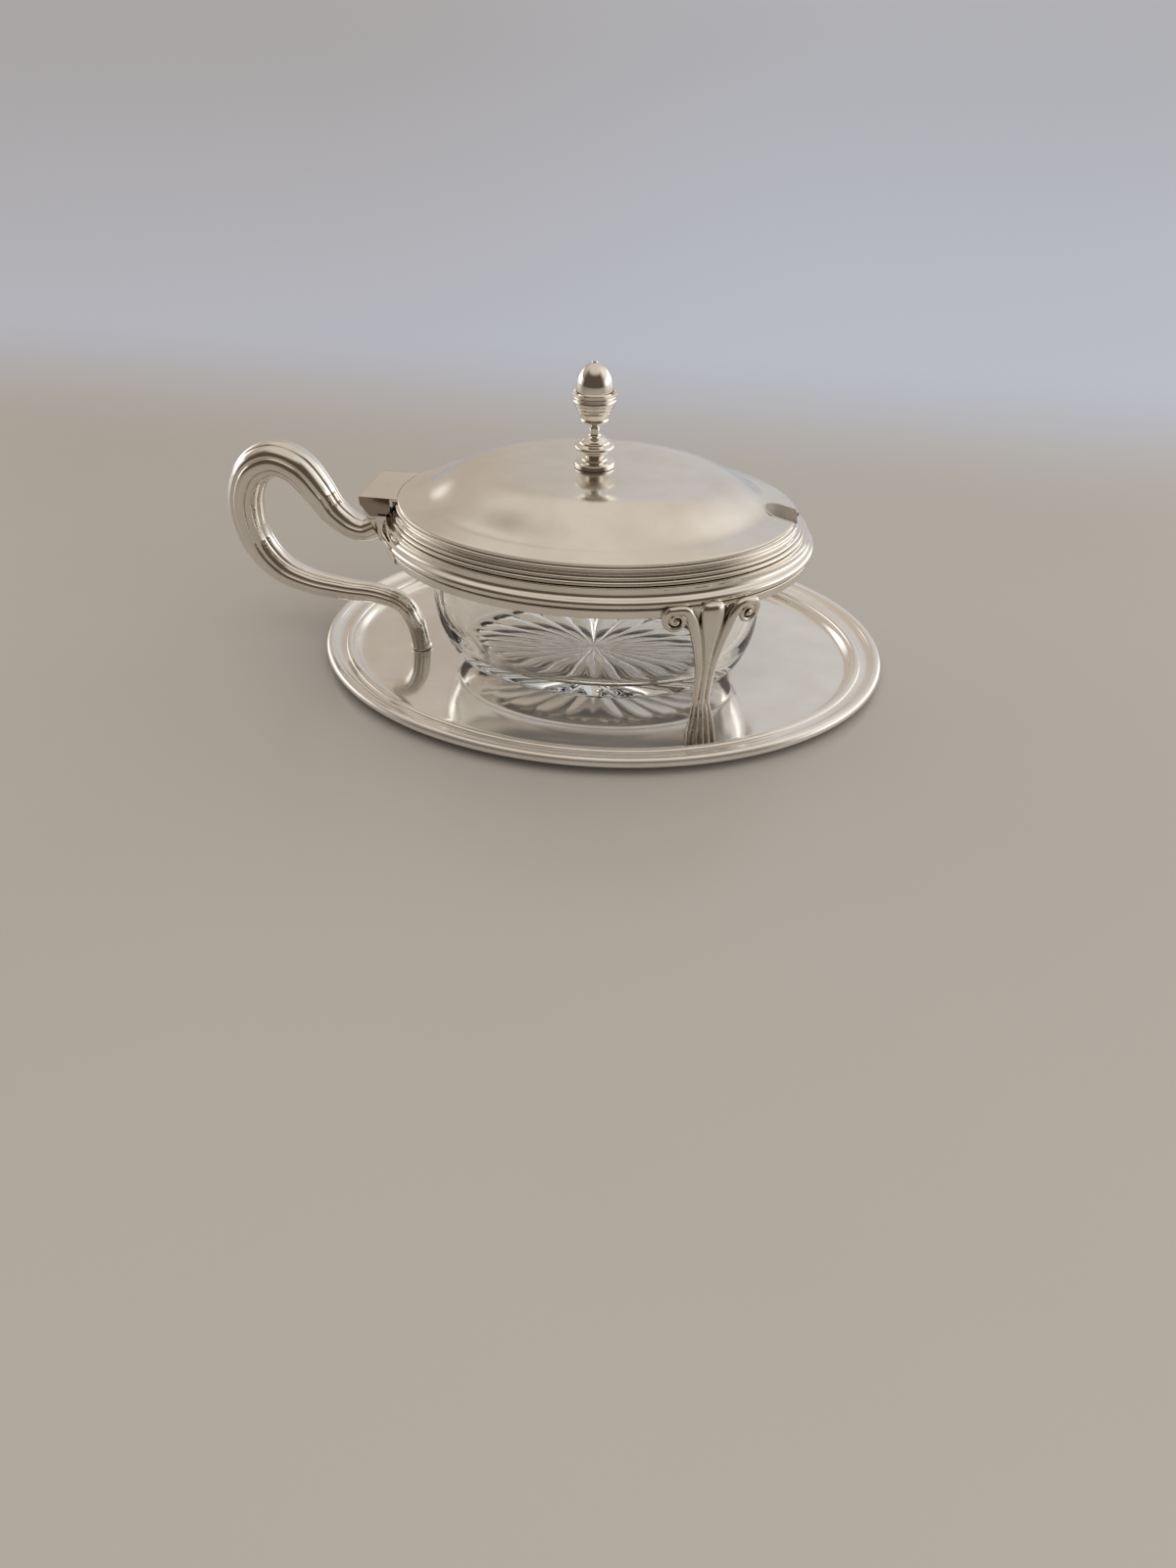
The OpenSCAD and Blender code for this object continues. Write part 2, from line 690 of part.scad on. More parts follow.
module finial_cup() {
  color(silver_c) on_stand() translate([0, 0, cup_z]) difference() {
    rotate_extrude() polygon([
      [0, 0],
      [cup_r * 0.36, 0],
      [cup_r * 0.4, cup_h * 0.02],
      [cup_r * 0.66, cup_h * 0.065],
      [cup_r * 0.86, cup_h * 0.12],
      [cup_r * 0.88, cup_h * 0.16],
      [cup_r * 0.76, cup_h * 0.2],
      [cup_r * 0.65, cup_h * 0.215],
      [cup_r * 0.65, cup_h * 0.245],
      [cup_r * 0.48, cup_h * 0.27],
      [cup_r * 0.48, cup_h * 0.3],
      [stem_r, cup_h * 0.33],
      [stem_r, cup_h * 0.47],
      [cup_r * 0.42, cup_h * 0.51],
      [cup_r * 0.6, cup_h * 0.55],
      [cup_r * 0.6, cup_h * 0.57],
      [cup_r * 0.56, cup_h * 0.59],
      [cup_r * 0.73, cup_h * 0.7],
      [cup_r * 0.83, cup_h * 0.755],
      [cup_r * 0.83, cup_h * 0.785],
      [cup_r * 0.95, cup_h * 0.83],
      [cup_r * 0.95, cup_h * 0.885],
      [cup_r * 0.91, cup_h * 0.905],
      [cup_r * 0.95, cup_h * 0.925],
      [cup_r * 0.95, cup_h * 0.955],
      [cup_r, cup_h * 0.98],
      [cup_r, cup_h],
      [0, cup_h]
    ]);
    translate([0, 0, -cup_h]) cylinder(r = stud_bore, h = cup_h + stud_in + seat_gap);
  }
}

module finial_acorn() {
  color(silver_c) on_stand() translate([0, 0, acorn_z]) rotate_extrude() polygon(concat(
    [[0, 0], [cup_r, 0], [acorn_r * 1.22, acorn_h * 0.09], [acorn_r * 1.06, acorn_h * 0.22]],
    [for (a = [0 : 15 : 75]) [acorn_r * cos(a), acorn_h * (0.42 + 0.54 * sin(a))]],
    [[acorn_r * 0.12, acorn_h * 0.96], [acorn_r * 0.12, acorn_h], [0, acorn_h]]
  ));
}

module finial_stud() {
  under = dome_z - lid_t - seat_gap - washer_t - nut_h - 2 * seat_gap;
  color(silver_c) on_stand() translate([0, 0, under]) cylinder(r = stud_r, h = cup_z + stud_in - under);
}

module finial_washer() {
  color(silver_c) on_stand() translate([0, 0, dome_z - lid_t - seat_gap - washer_t]) difference() {
    cylinder(r = washer_r, h = washer_t);
    translate([0, 0, -washer_t]) cylinder(r = stud_bore, h = 3 * washer_t);
  }
}

module finial_nut() {
  color(silver_c) on_stand()
    translate([0, 0, dome_z - lid_t - 2 * seat_gap - washer_t - nut_h]) difference() {
      cylinder(r = nut_af / sqrt(3), h = nut_h, $fn = 6);
      translate([0, 0, -nut_h]) cylinder(r = stud_bore, h = 3 * nut_h);
    }
}

tray_plate();
tray_border();
frame_band();
frame_upper_moulding();
frame_bead();
leg_front();
leg_back();
handle();
hinge_bracket();
frame_knuckles();
hinge_pin();
glass_liner();
lid_dome();
lid_border();
lid_flange();
thumb_plate();
lid_knuckle();
finial_collar();
finial_cup();
finial_acorn();
finial_stud();
finial_washer();
finial_nut();
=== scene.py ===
import bpy
import math
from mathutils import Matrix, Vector


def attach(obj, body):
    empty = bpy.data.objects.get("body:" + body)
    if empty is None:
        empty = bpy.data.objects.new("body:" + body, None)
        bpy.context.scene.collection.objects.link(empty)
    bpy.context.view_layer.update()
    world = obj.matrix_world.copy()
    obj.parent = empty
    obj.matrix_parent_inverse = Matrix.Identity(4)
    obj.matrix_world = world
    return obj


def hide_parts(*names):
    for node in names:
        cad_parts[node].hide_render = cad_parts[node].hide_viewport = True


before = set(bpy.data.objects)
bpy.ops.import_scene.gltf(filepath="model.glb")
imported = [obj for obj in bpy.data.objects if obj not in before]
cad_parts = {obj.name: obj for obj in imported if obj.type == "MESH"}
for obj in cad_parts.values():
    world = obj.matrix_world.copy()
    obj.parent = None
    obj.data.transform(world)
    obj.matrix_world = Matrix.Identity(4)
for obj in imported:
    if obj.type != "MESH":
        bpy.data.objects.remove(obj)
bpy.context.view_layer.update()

scene = bpy.context.scene
perMm = 0.001  # metres in a millimetre
trayMiddle = (10.6, 0, 0)  # millimetres, as in the model's source
standMiddle = (11.1, -10.776, 1.3)
lidHalf = (52, 38)
trayHalf = (80, 63.5)

# Camera at the photograph's place
cameraSet = {"place": (0.06641, -0.29152, 0.16620), "forward": (-0.1613, 0.7940, -0.5861), "lens": 26.55,
             "sensor": 36, "near": 0.01}


def setCamera():
    data = bpy.data.cameras.new("photoCamera")
    data.lens = cameraSet["lens"]
    data.sensor_width = cameraSet["sensor"]
    data.clip_start = cameraSet["near"]
    cam = bpy.data.objects.new("photoCamera", data)
    scene.collection.objects.link(cam)
    cam.location = cameraSet["place"]
    cam.rotation_euler = Vector(cameraSet["forward"]).to_track_quat("-Z", "Y").to_euler()
    scene.camera = cam


setCamera()
scene.view_settings.view_transform = "Standard"


# Finishes
def newGroup(name, inputs, outputs):
    group = bpy.data.node_groups.new(name, "ShaderNodeTree")
    for label, kind, value in inputs:
        socket = group.interface.new_socket(label, in_out="INPUT", socket_type=kind)
        socket.default_value = value
    for label, kind in outputs:
        group.interface.new_socket(label, in_out="OUTPUT", socket_type=kind)
    return group, group.nodes.new("NodeGroupInput"), group.nodes.new("NodeGroupOutput")


def addNode(tree, kind, links=None, **settings):
    node = tree.nodes.new(kind)
    for key, value in settings.items():
        setattr(node, key, value)
    for socket, source in (links or {}).items():
        target = node.inputs[socket]
        if hasattr(source, "is_linked"):
            tree.links.new(source, target)
        else:
            target.default_value = source
    return node


def mathNode(tree, operation, a, b=0.0, clamp=False):
    return addNode(tree, "ShaderNodeMath", {0: a, 1: b}, operation=operation, use_clamp=clamp).outputs[0]


wearShape = {"scratchScale": 900.0, "scratchDetail": 3.0, "scratchRough": 0.6,
             "along": ((1.0, 0.12, 1.0), (0.3, 0.5, 0.6)), "across": ((0.1, 1.0, 1.0), (0.2, 0.9, 0.4)),
             "smudgeScale": 60.0, "smudgeDetail": 4.0, "smudgeRough": 0.55,
             "grooveDepth": 0.0012, "grooveStart": 0.78, "grooveFull": 0.25}


def makeWearGroup():
    # Fine scratches, soft smudges and dark polish left in the grooves of worn silver
    w = wearShape
    group, given, out = newGroup(
        "silverWear",
        [("Scratch Scale", "NodeSocketFloat", w["scratchScale"]),
         ("Smudge Scale", "NodeSocketFloat", w["smudgeScale"]),
         ("Groove Depth", "NodeSocketFloat", w["grooveDepth"])],
        [("Scratches", "NodeSocketFloat"), ("Smudges", "NodeSocketFloat"), ("Grooves", "NodeSocketFloat")])
    place = addNode(group, "ShaderNodeTexCoord").outputs["Object"]
    lines = []
    for stretch, turn in (w["along"], w["across"]):
        drawn = addNode(group, "ShaderNodeMapping", {"Vector": place, "Scale": stretch, "Rotation": turn})
        fine = addNode(group, "ShaderNodeTexNoise", {"Vector": drawn.outputs[0], "Scale": given.outputs[0],
                                                     "Detail": w["scratchDetail"], "Roughness": w["scratchRough"]})
        lines.append(fine.outputs[0])
    group.links.new(mathNode(group, "MULTIPLY", *lines), out.inputs["Scratches"])
    soft = addNode(group, "ShaderNodeTexNoise", {"Vector": place, "Scale": given.outputs[1],
                                                 "Detail": w["smudgeDetail"], "Roughness": w["smudgeRough"]})
    group.links.new(soft.outputs[0], out.inputs["Smudges"])
    shade = addNode(group, "ShaderNodeAmbientOcclusion", {"Distance": given.outputs[2]}, samples=8, only_local=True)
    deep = addNode(group, "ShaderNodeMapRange", {"Value": shade.outputs["AO"], "From Min": w["grooveStart"],
                                                 "From Max": w["grooveFull"]})
    group.links.new(deep.outputs[0], out.inputs["Grooves"])
    return group


wearGroup = makeWearGroup()
silverLooks = {
    "polishedSilver": {"clean": (0.90, 0.865, 0.81, 1), "dull": (0.80, 0.755, 0.69, 1),
                       "dark": (0.16, 0.12, 0.085, 1), "rough": (0.02, 0.08), "groove": 0.0009, "grime": 0.75},
    "wornSilver": {"clean": (0.88, 0.845, 0.79, 1), "dull": (0.76, 0.71, 0.64, 1),
                   "dark": (0.13, 0.095, 0.06, 1), "rough": (0.05, 0.14), "groove": 0.0016, "grime": 0.95,
                   "low": 0.015},
    "lidSilver": {"clean": (0.89, 0.855, 0.80, 1), "dull": (0.80, 0.755, 0.69, 1),
                  "dark": (0.16, 0.12, 0.085, 1), "rough": (0.13, 0.22), "groove": 0.0009, "grime": 0.5},
    # Brown for the thumb plate's cheeks is painted reflection: the dark room in front, mirrored in their upright faces,
    # is put into the colour
    "paintedReflectionSilver": {"clean": (0.40, 0.335, 0.275, 1), "dull": (0.30, 0.245, 0.195, 1),
                    "dark": (0.12, 0.09, 0.06, 1), "rough": (0.16, 0.3), "groove": 0.0009, "grime": 0.5},
    "satinSilver": {"clean": (0.70, 0.655, 0.59, 1), "dull": (0.60, 0.55, 0.48, 1),
                    "dark": (0.2, 0.16, 0.12, 1), "rough": (0.3, 0.45), "groove": 0.0009, "grime": 0.5,
                    "metal": 0.35},
    "traySilver": {"clean": (0.90, 0.865, 0.815, 1), "dull": (0.82, 0.78, 0.72, 1),
                   "dark": (0.18, 0.14, 0.1, 1), "rough": (0.06, 0.12), "groove": 0.0009, "grime": 0.7,
                   "wave": 0.02, "metal": 0.77},
}
silverWear = {"dullFrom": 0.35, "dullTo": 0.7, "blurFrom": 0.3, "blurTo": 0.75, "scratchBlur": 0.05,
              "dirtBlur": 0.3, "footFull": 0.002, "footGrime": 1.5, "scratchBump": 0.04, "scratchHigh": 0.0001,
              "waveScale": 22.0, "waveHigh": 0.002}


def startFinish(name):
    mat = bpy.data.materials.new(name)
    mat.use_nodes = True
    tree = mat.node_tree
    return mat, tree, tree.nodes["Principled BSDF"], addNode(tree, "ShaderNodeGroup", node_tree=wearGroup)


def makeSilver(name):
    look, s = silverLooks[name], silverWear
    mat, tree, skin, wear = startFinish(name)
    wear.inputs["Groove Depth"].default_value = look["groove"]
    smudges, scratches = wear.outputs["Smudges"], wear.outputs["Scratches"]
    tone = addNode(tree, "ShaderNodeMapRange", {"Value": smudges, "From Min": s["dullFrom"], "From Max": s["dullTo"]})
    base = addNode(tree, "ShaderNodeMix", {6: look["clean"], 7: look["dull"], 0: tone.outputs[0]}, data_type="RGBA")
    grime = mathNode(tree, "MULTIPLY", wear.outputs["Grooves"], look["grime"])
    place = addNode(tree, "ShaderNodeTexCoord").outputs["Object"]
    if "low" in look:  # tarnish gathers near the feet
        spot = addNode(tree, "ShaderNodeSeparateXYZ", {0: place})
        foot = addNode(tree, "ShaderNodeMapRange", {"Value": spot.outputs[2], "From Min": look["low"],
                                                    "From Max": s["footFull"], "To Max": s["footGrime"]})
        grime = mathNode(tree, "MAXIMUM", grime, mathNode(tree, "MULTIPLY", foot.outputs[0], smudges))
    full = addNode(tree, "ShaderNodeMix", {0: grime, 6: base.outputs[2], 7: look["dark"]}, data_type="RGBA")
    tree.links.new(full.outputs[2], skin.inputs["Base Color"])
    low, high = look["rough"]
    blur = addNode(tree, "ShaderNodeMapRange", {"Value": smudges, "From Min": s["blurFrom"], "From Max": s["blurTo"],
                                                "To Min": low, "To Max": high})
    scratched = mathNode(tree, "MULTIPLY", scratches, s["scratchBlur"])
    dirt = mathNode(tree, "MULTIPLY", grime, s["dirtBlur"])
    worn = mathNode(tree, "ADD", blur.outputs[0], scratched)
    tree.links.new(mathNode(tree, "ADD", worn, dirt, True), skin.inputs["Roughness"])
    skin.inputs["Metallic"].default_value = look.get("metal", 1.0)
    bump = addNode(tree, "ShaderNodeBump", {"Strength": s["scratchBump"], "Distance": s["scratchHigh"],
                                            "Height": scratches})
    if "wave" in look:  # the tray's thin sheet isn't quite flat
        sway = addNode(tree, "ShaderNodeTexNoise", {"Vector": place, "Scale": s["waveScale"], "Detail": 1.0})
        bump = addNode(tree, "ShaderNodeBump", {"Strength": look["wave"], "Distance": s["waveHigh"],
                                                "Height": sway.outputs[0], "Normal": bump.outputs[0]})
    tree.links.new(bump.outputs[0], skin.inputs["Normal"])
    return mat


glassLook = {"clear": (0.985, 0.99, 0.985, 1), "tinted": (0.955, 0.965, 0.955, 1), "smearFrom": 0.55,
             "smearTo": 0.8, "smearRough": 0.06, "bend": 1.3}


def makeGlass():
    look = glassLook
    mat, tree, skin, wear = startFinish("clearGlass")
    smudges = wear.outputs["Smudges"]
    tint = addNode(tree, "ShaderNodeMix", {6: look["clear"], 7: look["tinted"], 0: smudges}, data_type="RGBA")
    tree.links.new(tint.outputs[2], skin.inputs["Base Color"])
    smear = addNode(tree, "ShaderNodeMapRange", {"Value": smudges, "From Min": look["smearFrom"],
                                                 "From Max": look["smearTo"], "To Max": look["smearRough"]})
    tree.links.new(smear.outputs[0], skin.inputs["Roughness"])
    skin.inputs["Transmission Weight"].default_value = 1.0
    skin.inputs["IOR"].default_value = look["bend"]
    return mat


finishes = {name: makeSilver(name) for name in silverLooks}
finishes["clearGlass"] = makeGlass()
print("finishes made")

# Shared ways of shaping
weldGap = 0.000001


def mm(*place):
    return tuple(c * perMm for c in place)


def onStand(x, y, z):
    return (standMiddle[0] + x, standMiddle[1] + y, standMiddle[2] + z)


def clearSelection():
    if bpy.context.mode != "OBJECT":
        bpy.ops.object.mode_set(mode="OBJECT")
    bpy.ops.object.select_all(action="DESELECT")


def pickOnly(piece):
    clearSelection()
    piece.select_set(True)
    bpy.context.view_layer.objects.active = piece


def applyModifier(piece, kind, **settings):
    pickOnly(piece)
    mod = piece.modifiers.new("shape", kind)
    for key, value in settings.items():
        setattr(mod, key, value)
    bpy.ops.object.modifier_apply(modifier=mod.name)


def applyPlace():
    bpy.ops.object.transform_apply(location=True, rotation=True, scale=True)


def softShade(piece, degrees=40):
    pickOnly(piece)
    bpy.ops.object.shade_smooth_by_angle(angle=math.radians(degrees))


def keepPiece(piece, name, body, finish, *nodes):
    piece.name = name
    piece.data.name = name
    piece.data.materials.clear()
    piece.data.materials.append(finishes[finish])
    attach(piece, body)
    if nodes:
        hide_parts(*nodes)
    return piece


def arc(midOut, midUp, r, start, end, steps, squash=1.0):
    turn = [math.radians(start + (end - start) * i / steps) for i in range(steps + 1)]
    return [(midOut + r * math.cos(a), midUp + r * squash * math.sin(a)) for a in turn]


def smoothLine(points, steps):
    # Passes a smooth curve through the points
    out = []
    for i in range(len(points) - 1):
        a, b = points[max(i - 1, 0)], points[i]
        c, d = points[i + 1], points[min(i + 2, len(points) - 1)]
        for j in range(steps):
            t = j / steps
            out.append(tuple(0.5 * (2 * q + (r - p) * t + (2 * p - 5 * q + 4 * r - s) * t * t
                                    + (3 * q - p - 3 * r + s) * t ** 3) for p, q, r, s in zip(a, b, c, d)))
    return out + [tuple(points[-1])]


def offsetRings(half, line):
    return [(half[0] + out, half[1] + out, up) for out, up in line]


def roundRings(line):
    return [(r, r, up) for r, up in line]


def loftRings(middle, rings, sides=256, ends="loop"):
    # A circle is sized to the first ring, then drawn up ring by ring
    clearSelection()
    bpy.ops.mesh.primitive_circle_add(vertices=sides, radius=perMm, location=(0, 0, 0))
    piece = bpy.context.object
    bpy.ops.object.mode_set(mode="EDIT")
    bpy.ops.mesh.select_mode(type="VERT")
    bpy.ops.mesh.select_all(action="SELECT")
    long, wide, up = rings[0]
    centre = mm(middle[0], middle[1], 0)
    bpy.ops.transform.resize(value=(long, wide, 1), center_override=(0, 0, 0))
    bpy.ops.transform.translate(value=mm(middle[0], middle[1], middle[2] + up))
    if ends == "face":
        bpy.ops.mesh.edge_face_add()
        bpy.ops.mesh.select_all(action="SELECT")
    for nextLong, nextWide, nextUp in rings[1:]:
        bpy.ops.mesh.extrude_region_move(TRANSFORM_OT_translate={"value": mm(0, 0, nextUp - up)})
        bpy.ops.transform.resize(value=(nextLong / long, nextWide / wide, 1), center_override=centre)
        long, wide, up = nextLong, nextWide, nextUp
    if ends == "loop":
        bpy.ops.mesh.select_mode(type="EDGE")
        bpy.ops.mesh.select_all(action="DESELECT")
        bpy.ops.mesh.select_non_manifold()
        bpy.ops.mesh.bridge_edge_loops()
    bpy.ops.mesh.select_all(action="SELECT")
    bpy.ops.mesh.normals_make_consistent(inside=False)
    bpy.ops.object.mode_set(mode="OBJECT")
    return piece


def addBlock(low, high, bevel, steps):
    # A block between two corners in millimetres, its edges rounded
    clearSelection()
    size = [(b - a) for a, b in zip(low, high)]
    mid = [(a + b) / 2 for a, b in zip(low, high)]
    bpy.ops.mesh.primitive_cube_add(size=perMm, location=mm(*mid))
    piece = bpy.context.object
    piece.scale = size
    applyPlace()
    applyModifier(piece, "BEVEL", width=bevel * perMm, segments=steps, limit_method="ANGLE")
    return piece


def addBar(place, r, half, bevel=0.0):
    # A round bar along Y
    clearSelection()
    bpy.ops.mesh.primitive_cylinder_add(vertices=64, radius=r * perMm, depth=2 * half * perMm, location=mm(*place),
                                        rotation=(math.pi / 2, 0, 0))
    piece = bpy.context.object
    applyPlace()
    if bevel:
        applyModifier(piece, "BEVEL", width=bevel * perMm, segments=3, limit_method="ANGLE")
    return piece


def turnPiece(place, points, sides, ends="face"):
    return loftRings(onStand(*place), roundRings(smoothLine(points, 3)), sides=sides, ends=ends)


def addSpline(curve, places, closed=False, radii=None):
    spline = curve.splines.new("POLY")
    spline.points.add(len(places) - 1)
    for i, place in enumerate(places):
        spline.points[i].co = (*mm(*place), 1)
        if radii:
            spline.points[i].radius = radii[i]
    spline.use_cyclic_u = closed


def newCurve(name, dimensions):
    curve = bpy.data.curves.new(name, "CURVE")
    curve.dimensions = dimensions
    return curve


def meshFromCurve(name, curve):
    piece = bpy.data.objects.new(name, curve)
    scene.collection.objects.link(piece)
    pickOnly(piece)
    bpy.ops.object.convert(target="MESH")
    return bpy.context.object


def weldPoints():
    # Joins doubled corners of the active piece and turns its faces outwards
    bpy.ops.object.mode_set(mode="EDIT")
    bpy.ops.mesh.select_all(action="SELECT")
    bpy.ops.mesh.remove_doubles(threshold=weldGap)
    bpy.ops.mesh.normals_make_consistent(inside=False)
    bpy.ops.object.mode_set(mode="OBJECT")


def joinPieces(pieces):
    pickOnly(pieces[0])
    for piece in pieces:
        piece.select_set(True)
    bpy.ops.object.join()
    return bpy.context.object


def cutAway(piece, cutter, operation="DIFFERENCE"):
    applyModifier(piece, "BOOLEAN", operation=operation, object=cutter, solver="EXACT")


# Tray
trayShape = {"floorTop": 1.2, "flangeTop": 3.2, "slope": (-9.9, -7.6), "slopeSteps": 12, "floorIn": 1.5,
             "underOut": 0.35, "overIn": 0.1, "edge": -3.1, "edgeIn": 0.15, "rim": 0.5}


def makeTray():
    t = trayShape
    top, high, edge, rim, steps = t["floorTop"], t["flangeTop"], t["edge"], t["rim"], t["slopeSteps"]
    start, end = t["slope"]
    rise = []
    for i in range(steps + 1):
        f = i / steps
        rise.append((start + (end - start) * f, (high - top) * f * f * (3 - 2 * f)))
    line = [(start - t["floorIn"], 0)] + [(out + t["underOut"], up) for out, up in rise]
    line += [(edge - t["edgeIn"], high - top)] + arc(edge - rim, high - rim, rim, -90, 90, 10)
    line += [(out - t["overIn"], up + top) for out, up in reversed(rise)] + [(start - t["floorIn"], top)]
    piece = loftRings(trayMiddle, offsetRings(trayHalf, line), ends="face")
    softShade(piece, 30)
    return keepPiece(piece, "trayPlate", "tray", "traySilver", "tray_plate")


borderShape = {"base": 3.25, "bead": 1.45, "beadLift": 0.2, "innerBead": 1.1, "inner": -7.65, "innerLift": 0.1,
               "innerFlat": 0.66, "coveIn": 0.05,
               "cove": [(0, 0.36), (0.5, 0.24), (1.1, 0.26), (1.7, 0.42), (2.15, 0.68), (2.4, 0.92)]}


def makeTrayBorder():
    b = borderShape
    base, bead, small, inner = b["base"], b["bead"], b["innerBead"], b["inner"]
    line = [(inner, base)] + arc(inner + small, base + b["innerLift"], small, 178, 22, 16, b["innerFlat"])
    start = inner + 2 * small + b["coveIn"]
    line += smoothLine([(start + out, base + up) for out, up in b["cove"]], 3)
    line += arc(-bead, base + bead * b["beadLift"], bead, 148, -168, 40)
    piece = loftRings(trayMiddle, offsetRings(trayHalf, line))
    softShade(piece, 40)
    return keepPiece(piece, "trayBorder", "tray", "traySilver", "tray_border")


makeTray()
makeTrayBorder()
print("tray made")

# Frame of the pot: its section as (out from the lid's edge, up) corners, and arcs between them
frameShape = {
    "shelfUnder": [(-6.2, 37.9), (-6.1, 37.8), (3.3, 37.8), (3.4, 37.0), (3.55, 36.8), (4.2, 36.8)],
    "skirtFoot": (4.2, 37.05, 0.25, -70, 0, 4), "skirt": [(4.45, 37.6), (4.45, 38.6)],
    "skirtTop": (4.25, 38.75, 0.2, 0, 60, 3), "underBead": [(4.1, 39.05), (3.85, 39.15), (3.72, 39.25)],
    "bead": (4.0, 40.42, 1.15, -104, 78, 22), "overBead": [(4.12, 41.6), (4.0, 41.66)],
    "hollow": [(3.86, 41.74), (3.6, 42.0), (3.42, 42.38), (3.34, 42.8), (3.34, 43.2), (3.42, 43.55)],
    "topOuter": (3.28, 43.74, 0.16, -20, 90, 5), "topInner": (1.8, 43.7, 0.2, 90, 180, 3),
    "shelfOver": [(1.6, 39.4), (1.5, 39.2), (-6.1, 39.2), (-6.2, 39.1)],
}


def makeFrameRing():
    s = frameShape
    line = s["shelfUnder"] + arc(*s["skirtFoot"]) + s["skirt"] + arc(*s["skirtTop"]) + s["underBead"]
    line += arc(*s["bead"]) + s["overBead"] + smoothLine(s["hollow"], 3)
    line += arc(*s["topOuter"]) + arc(*s["topInner"]) + s["shelfOver"]
    piece = loftRings(standMiddle, offsetRings(lidHalf, line))
    softShade(piece, 45)
    return keepPiece(piece, "frameRing", "stand", "polishedSilver", "frame_band", "frame_upper_moulding", "frame_bead")


makeFrameRing()
print("frame ring made")

# Glass liner with a star cut under its base
glassShape = {"bottom": 4.2, "sill": 39.25, "baseIn": -12.6, "wallIn": -6.8, "wall": 2.6, "base": 3.4, "rim": 2.7,
              "side": [(0, 0.025), (0.26, 0.08), (0.58, 0.2), (0.82, 0.35), (0.94, 0.6), (1, 0.86)],
              "footRound": 0.9, "rimOut": -0.9, "floorIn": 3.2,
              "flutes": 24, "fluteSides": 14, "fluteDepth": 1.2, "fluteFull": 0.6, "fluteEnd": 0.87, "fluteFade": 0.07,
              "starRings": (0.012, 0.05, 0.1, 0.2, 0.3, 0.4, 0.5, 0.6, 0.7, 0.78, 0.84, 0.88)}


def glassLine():
    g = glassShape
    low, sill, wall, base = g["bottom"], g["sill"], g["wall"], g["base"]
    foot, rim, out = g["footRound"], sill + g["rim"], g["rimOut"]
    tall = sill - low
    outer = smoothLine([(g["baseIn"] + f * (g["wallIn"] - g["baseIn"]), low + h * tall) for f, h in g["side"]], 5)
    inner = [(at - wall, max(up + base * (1 - (up - low) / tall), low + base)) for at, up in outer]
    line = [(g["baseIn"] - foot - 0.2, low)] + arc(g["baseIn"] - foot, low + foot, foot, -80, -10, 8)
    line += outer + [(g["wallIn"], sill - 0.5), (g["wallIn"] + 0.3, sill), (out, sill)]
    line += arc(out, sill + 0.5, 0.5, -70, 0, 4) + arc(out - 0.1, rim - 0.6, 0.6, 0, 90, 6)
    line += arc(g["wallIn"] - wall + 0.7, rim - 0.7, 0.7, 90, 180, 6)
    return line + inner[::-1] + [(g["baseIn"] - wall - g["floorIn"], low + base)]


def makeGlassLiner():
    g = glassShape
    low = g["bottom"]
    foot = (lidHalf[0] + g["baseIn"], lidHalf[1] + g["baseIn"])
    star = [(foot[0] * f, foot[1] * f, low) for f in g["starRings"]]
    rings = star + offsetRings(lidHalf, glassLine())
    piece = loftRings(standMiddle, rings, sides=g["flutes"] * g["fluteSides"], ends="face")
    for vert in piece.data.vertices:  # the flutes are hollowed from below
        x, y, z = (c * 1000 - m for c, m in zip(vert.co, standMiddle))
        share = math.hypot(x / foot[0], y / foot[1])
        if z > low + 0.01 or share > g["fluteEnd"]:
            continue
        across = math.atan2(y / foot[1], x / foot[0]) * g["flutes"] / (2 * math.pi)
        swing = 2 * abs(across - round(across))
        end = min(1.0, (g["fluteEnd"] - share) / g["fluteFade"])
        deep = g["fluteDepth"] * min(share / g["fluteFull"], 1.0)
        vert.co.z += perMm * deep * (1 - swing ** 2) * math.sqrt(end)
    softShade(piece, 35)
    return keepPiece(piece, "glassLiner", "stand", "clearGlass", "glass_liner")


makeGlassLiner()
print("glass liner made")

# Lid
lidShape = {"edge": 48.7, "rise": 9.4, "brimRise": 1.3, "brim": 0.9, "full": 3.6, "sheet": 0.8, "edgeRound": 0.12,
            "hole": 1.1, "rimShares": [1.0, 0.996, 0.985, 0.97, 0.95, 0.93, 0.915, 0.9, 0.885],
            "domeShares": [0.87 - 0.02 * i for i in range(42)]}
notchShape = {"wide": 9.4, "deep": 8.6, "low": 46.3, "tall": 40, "from": 30, "reach": 14, "lining": 0.45, "proud": 0.04,
              "liningFoot": [(-2.7, 44.1), (-2.7, 46.3), (0.3, 46.3), (0.36, 46.8), (0.42, 47.3), (0.1, 47.8),
                             (0, 48.5)],
              "liningShares": (0.995, 0.95, 0.9, 0.85, 0.8, 0.7, 0.6)}


def lidHeight(s):
    # A full dome that runs out into a narrow sloping brim
    brim, low = lidShape["brim"], lidShape["brimRise"]
    if s < brim:
        return low + (lidShape["rise"] - low) * (0.5 + 0.5 * math.cos(math.pi * (s / brim) ** lidShape["full"]))
    return low * (1 - s) / (1 - brim)


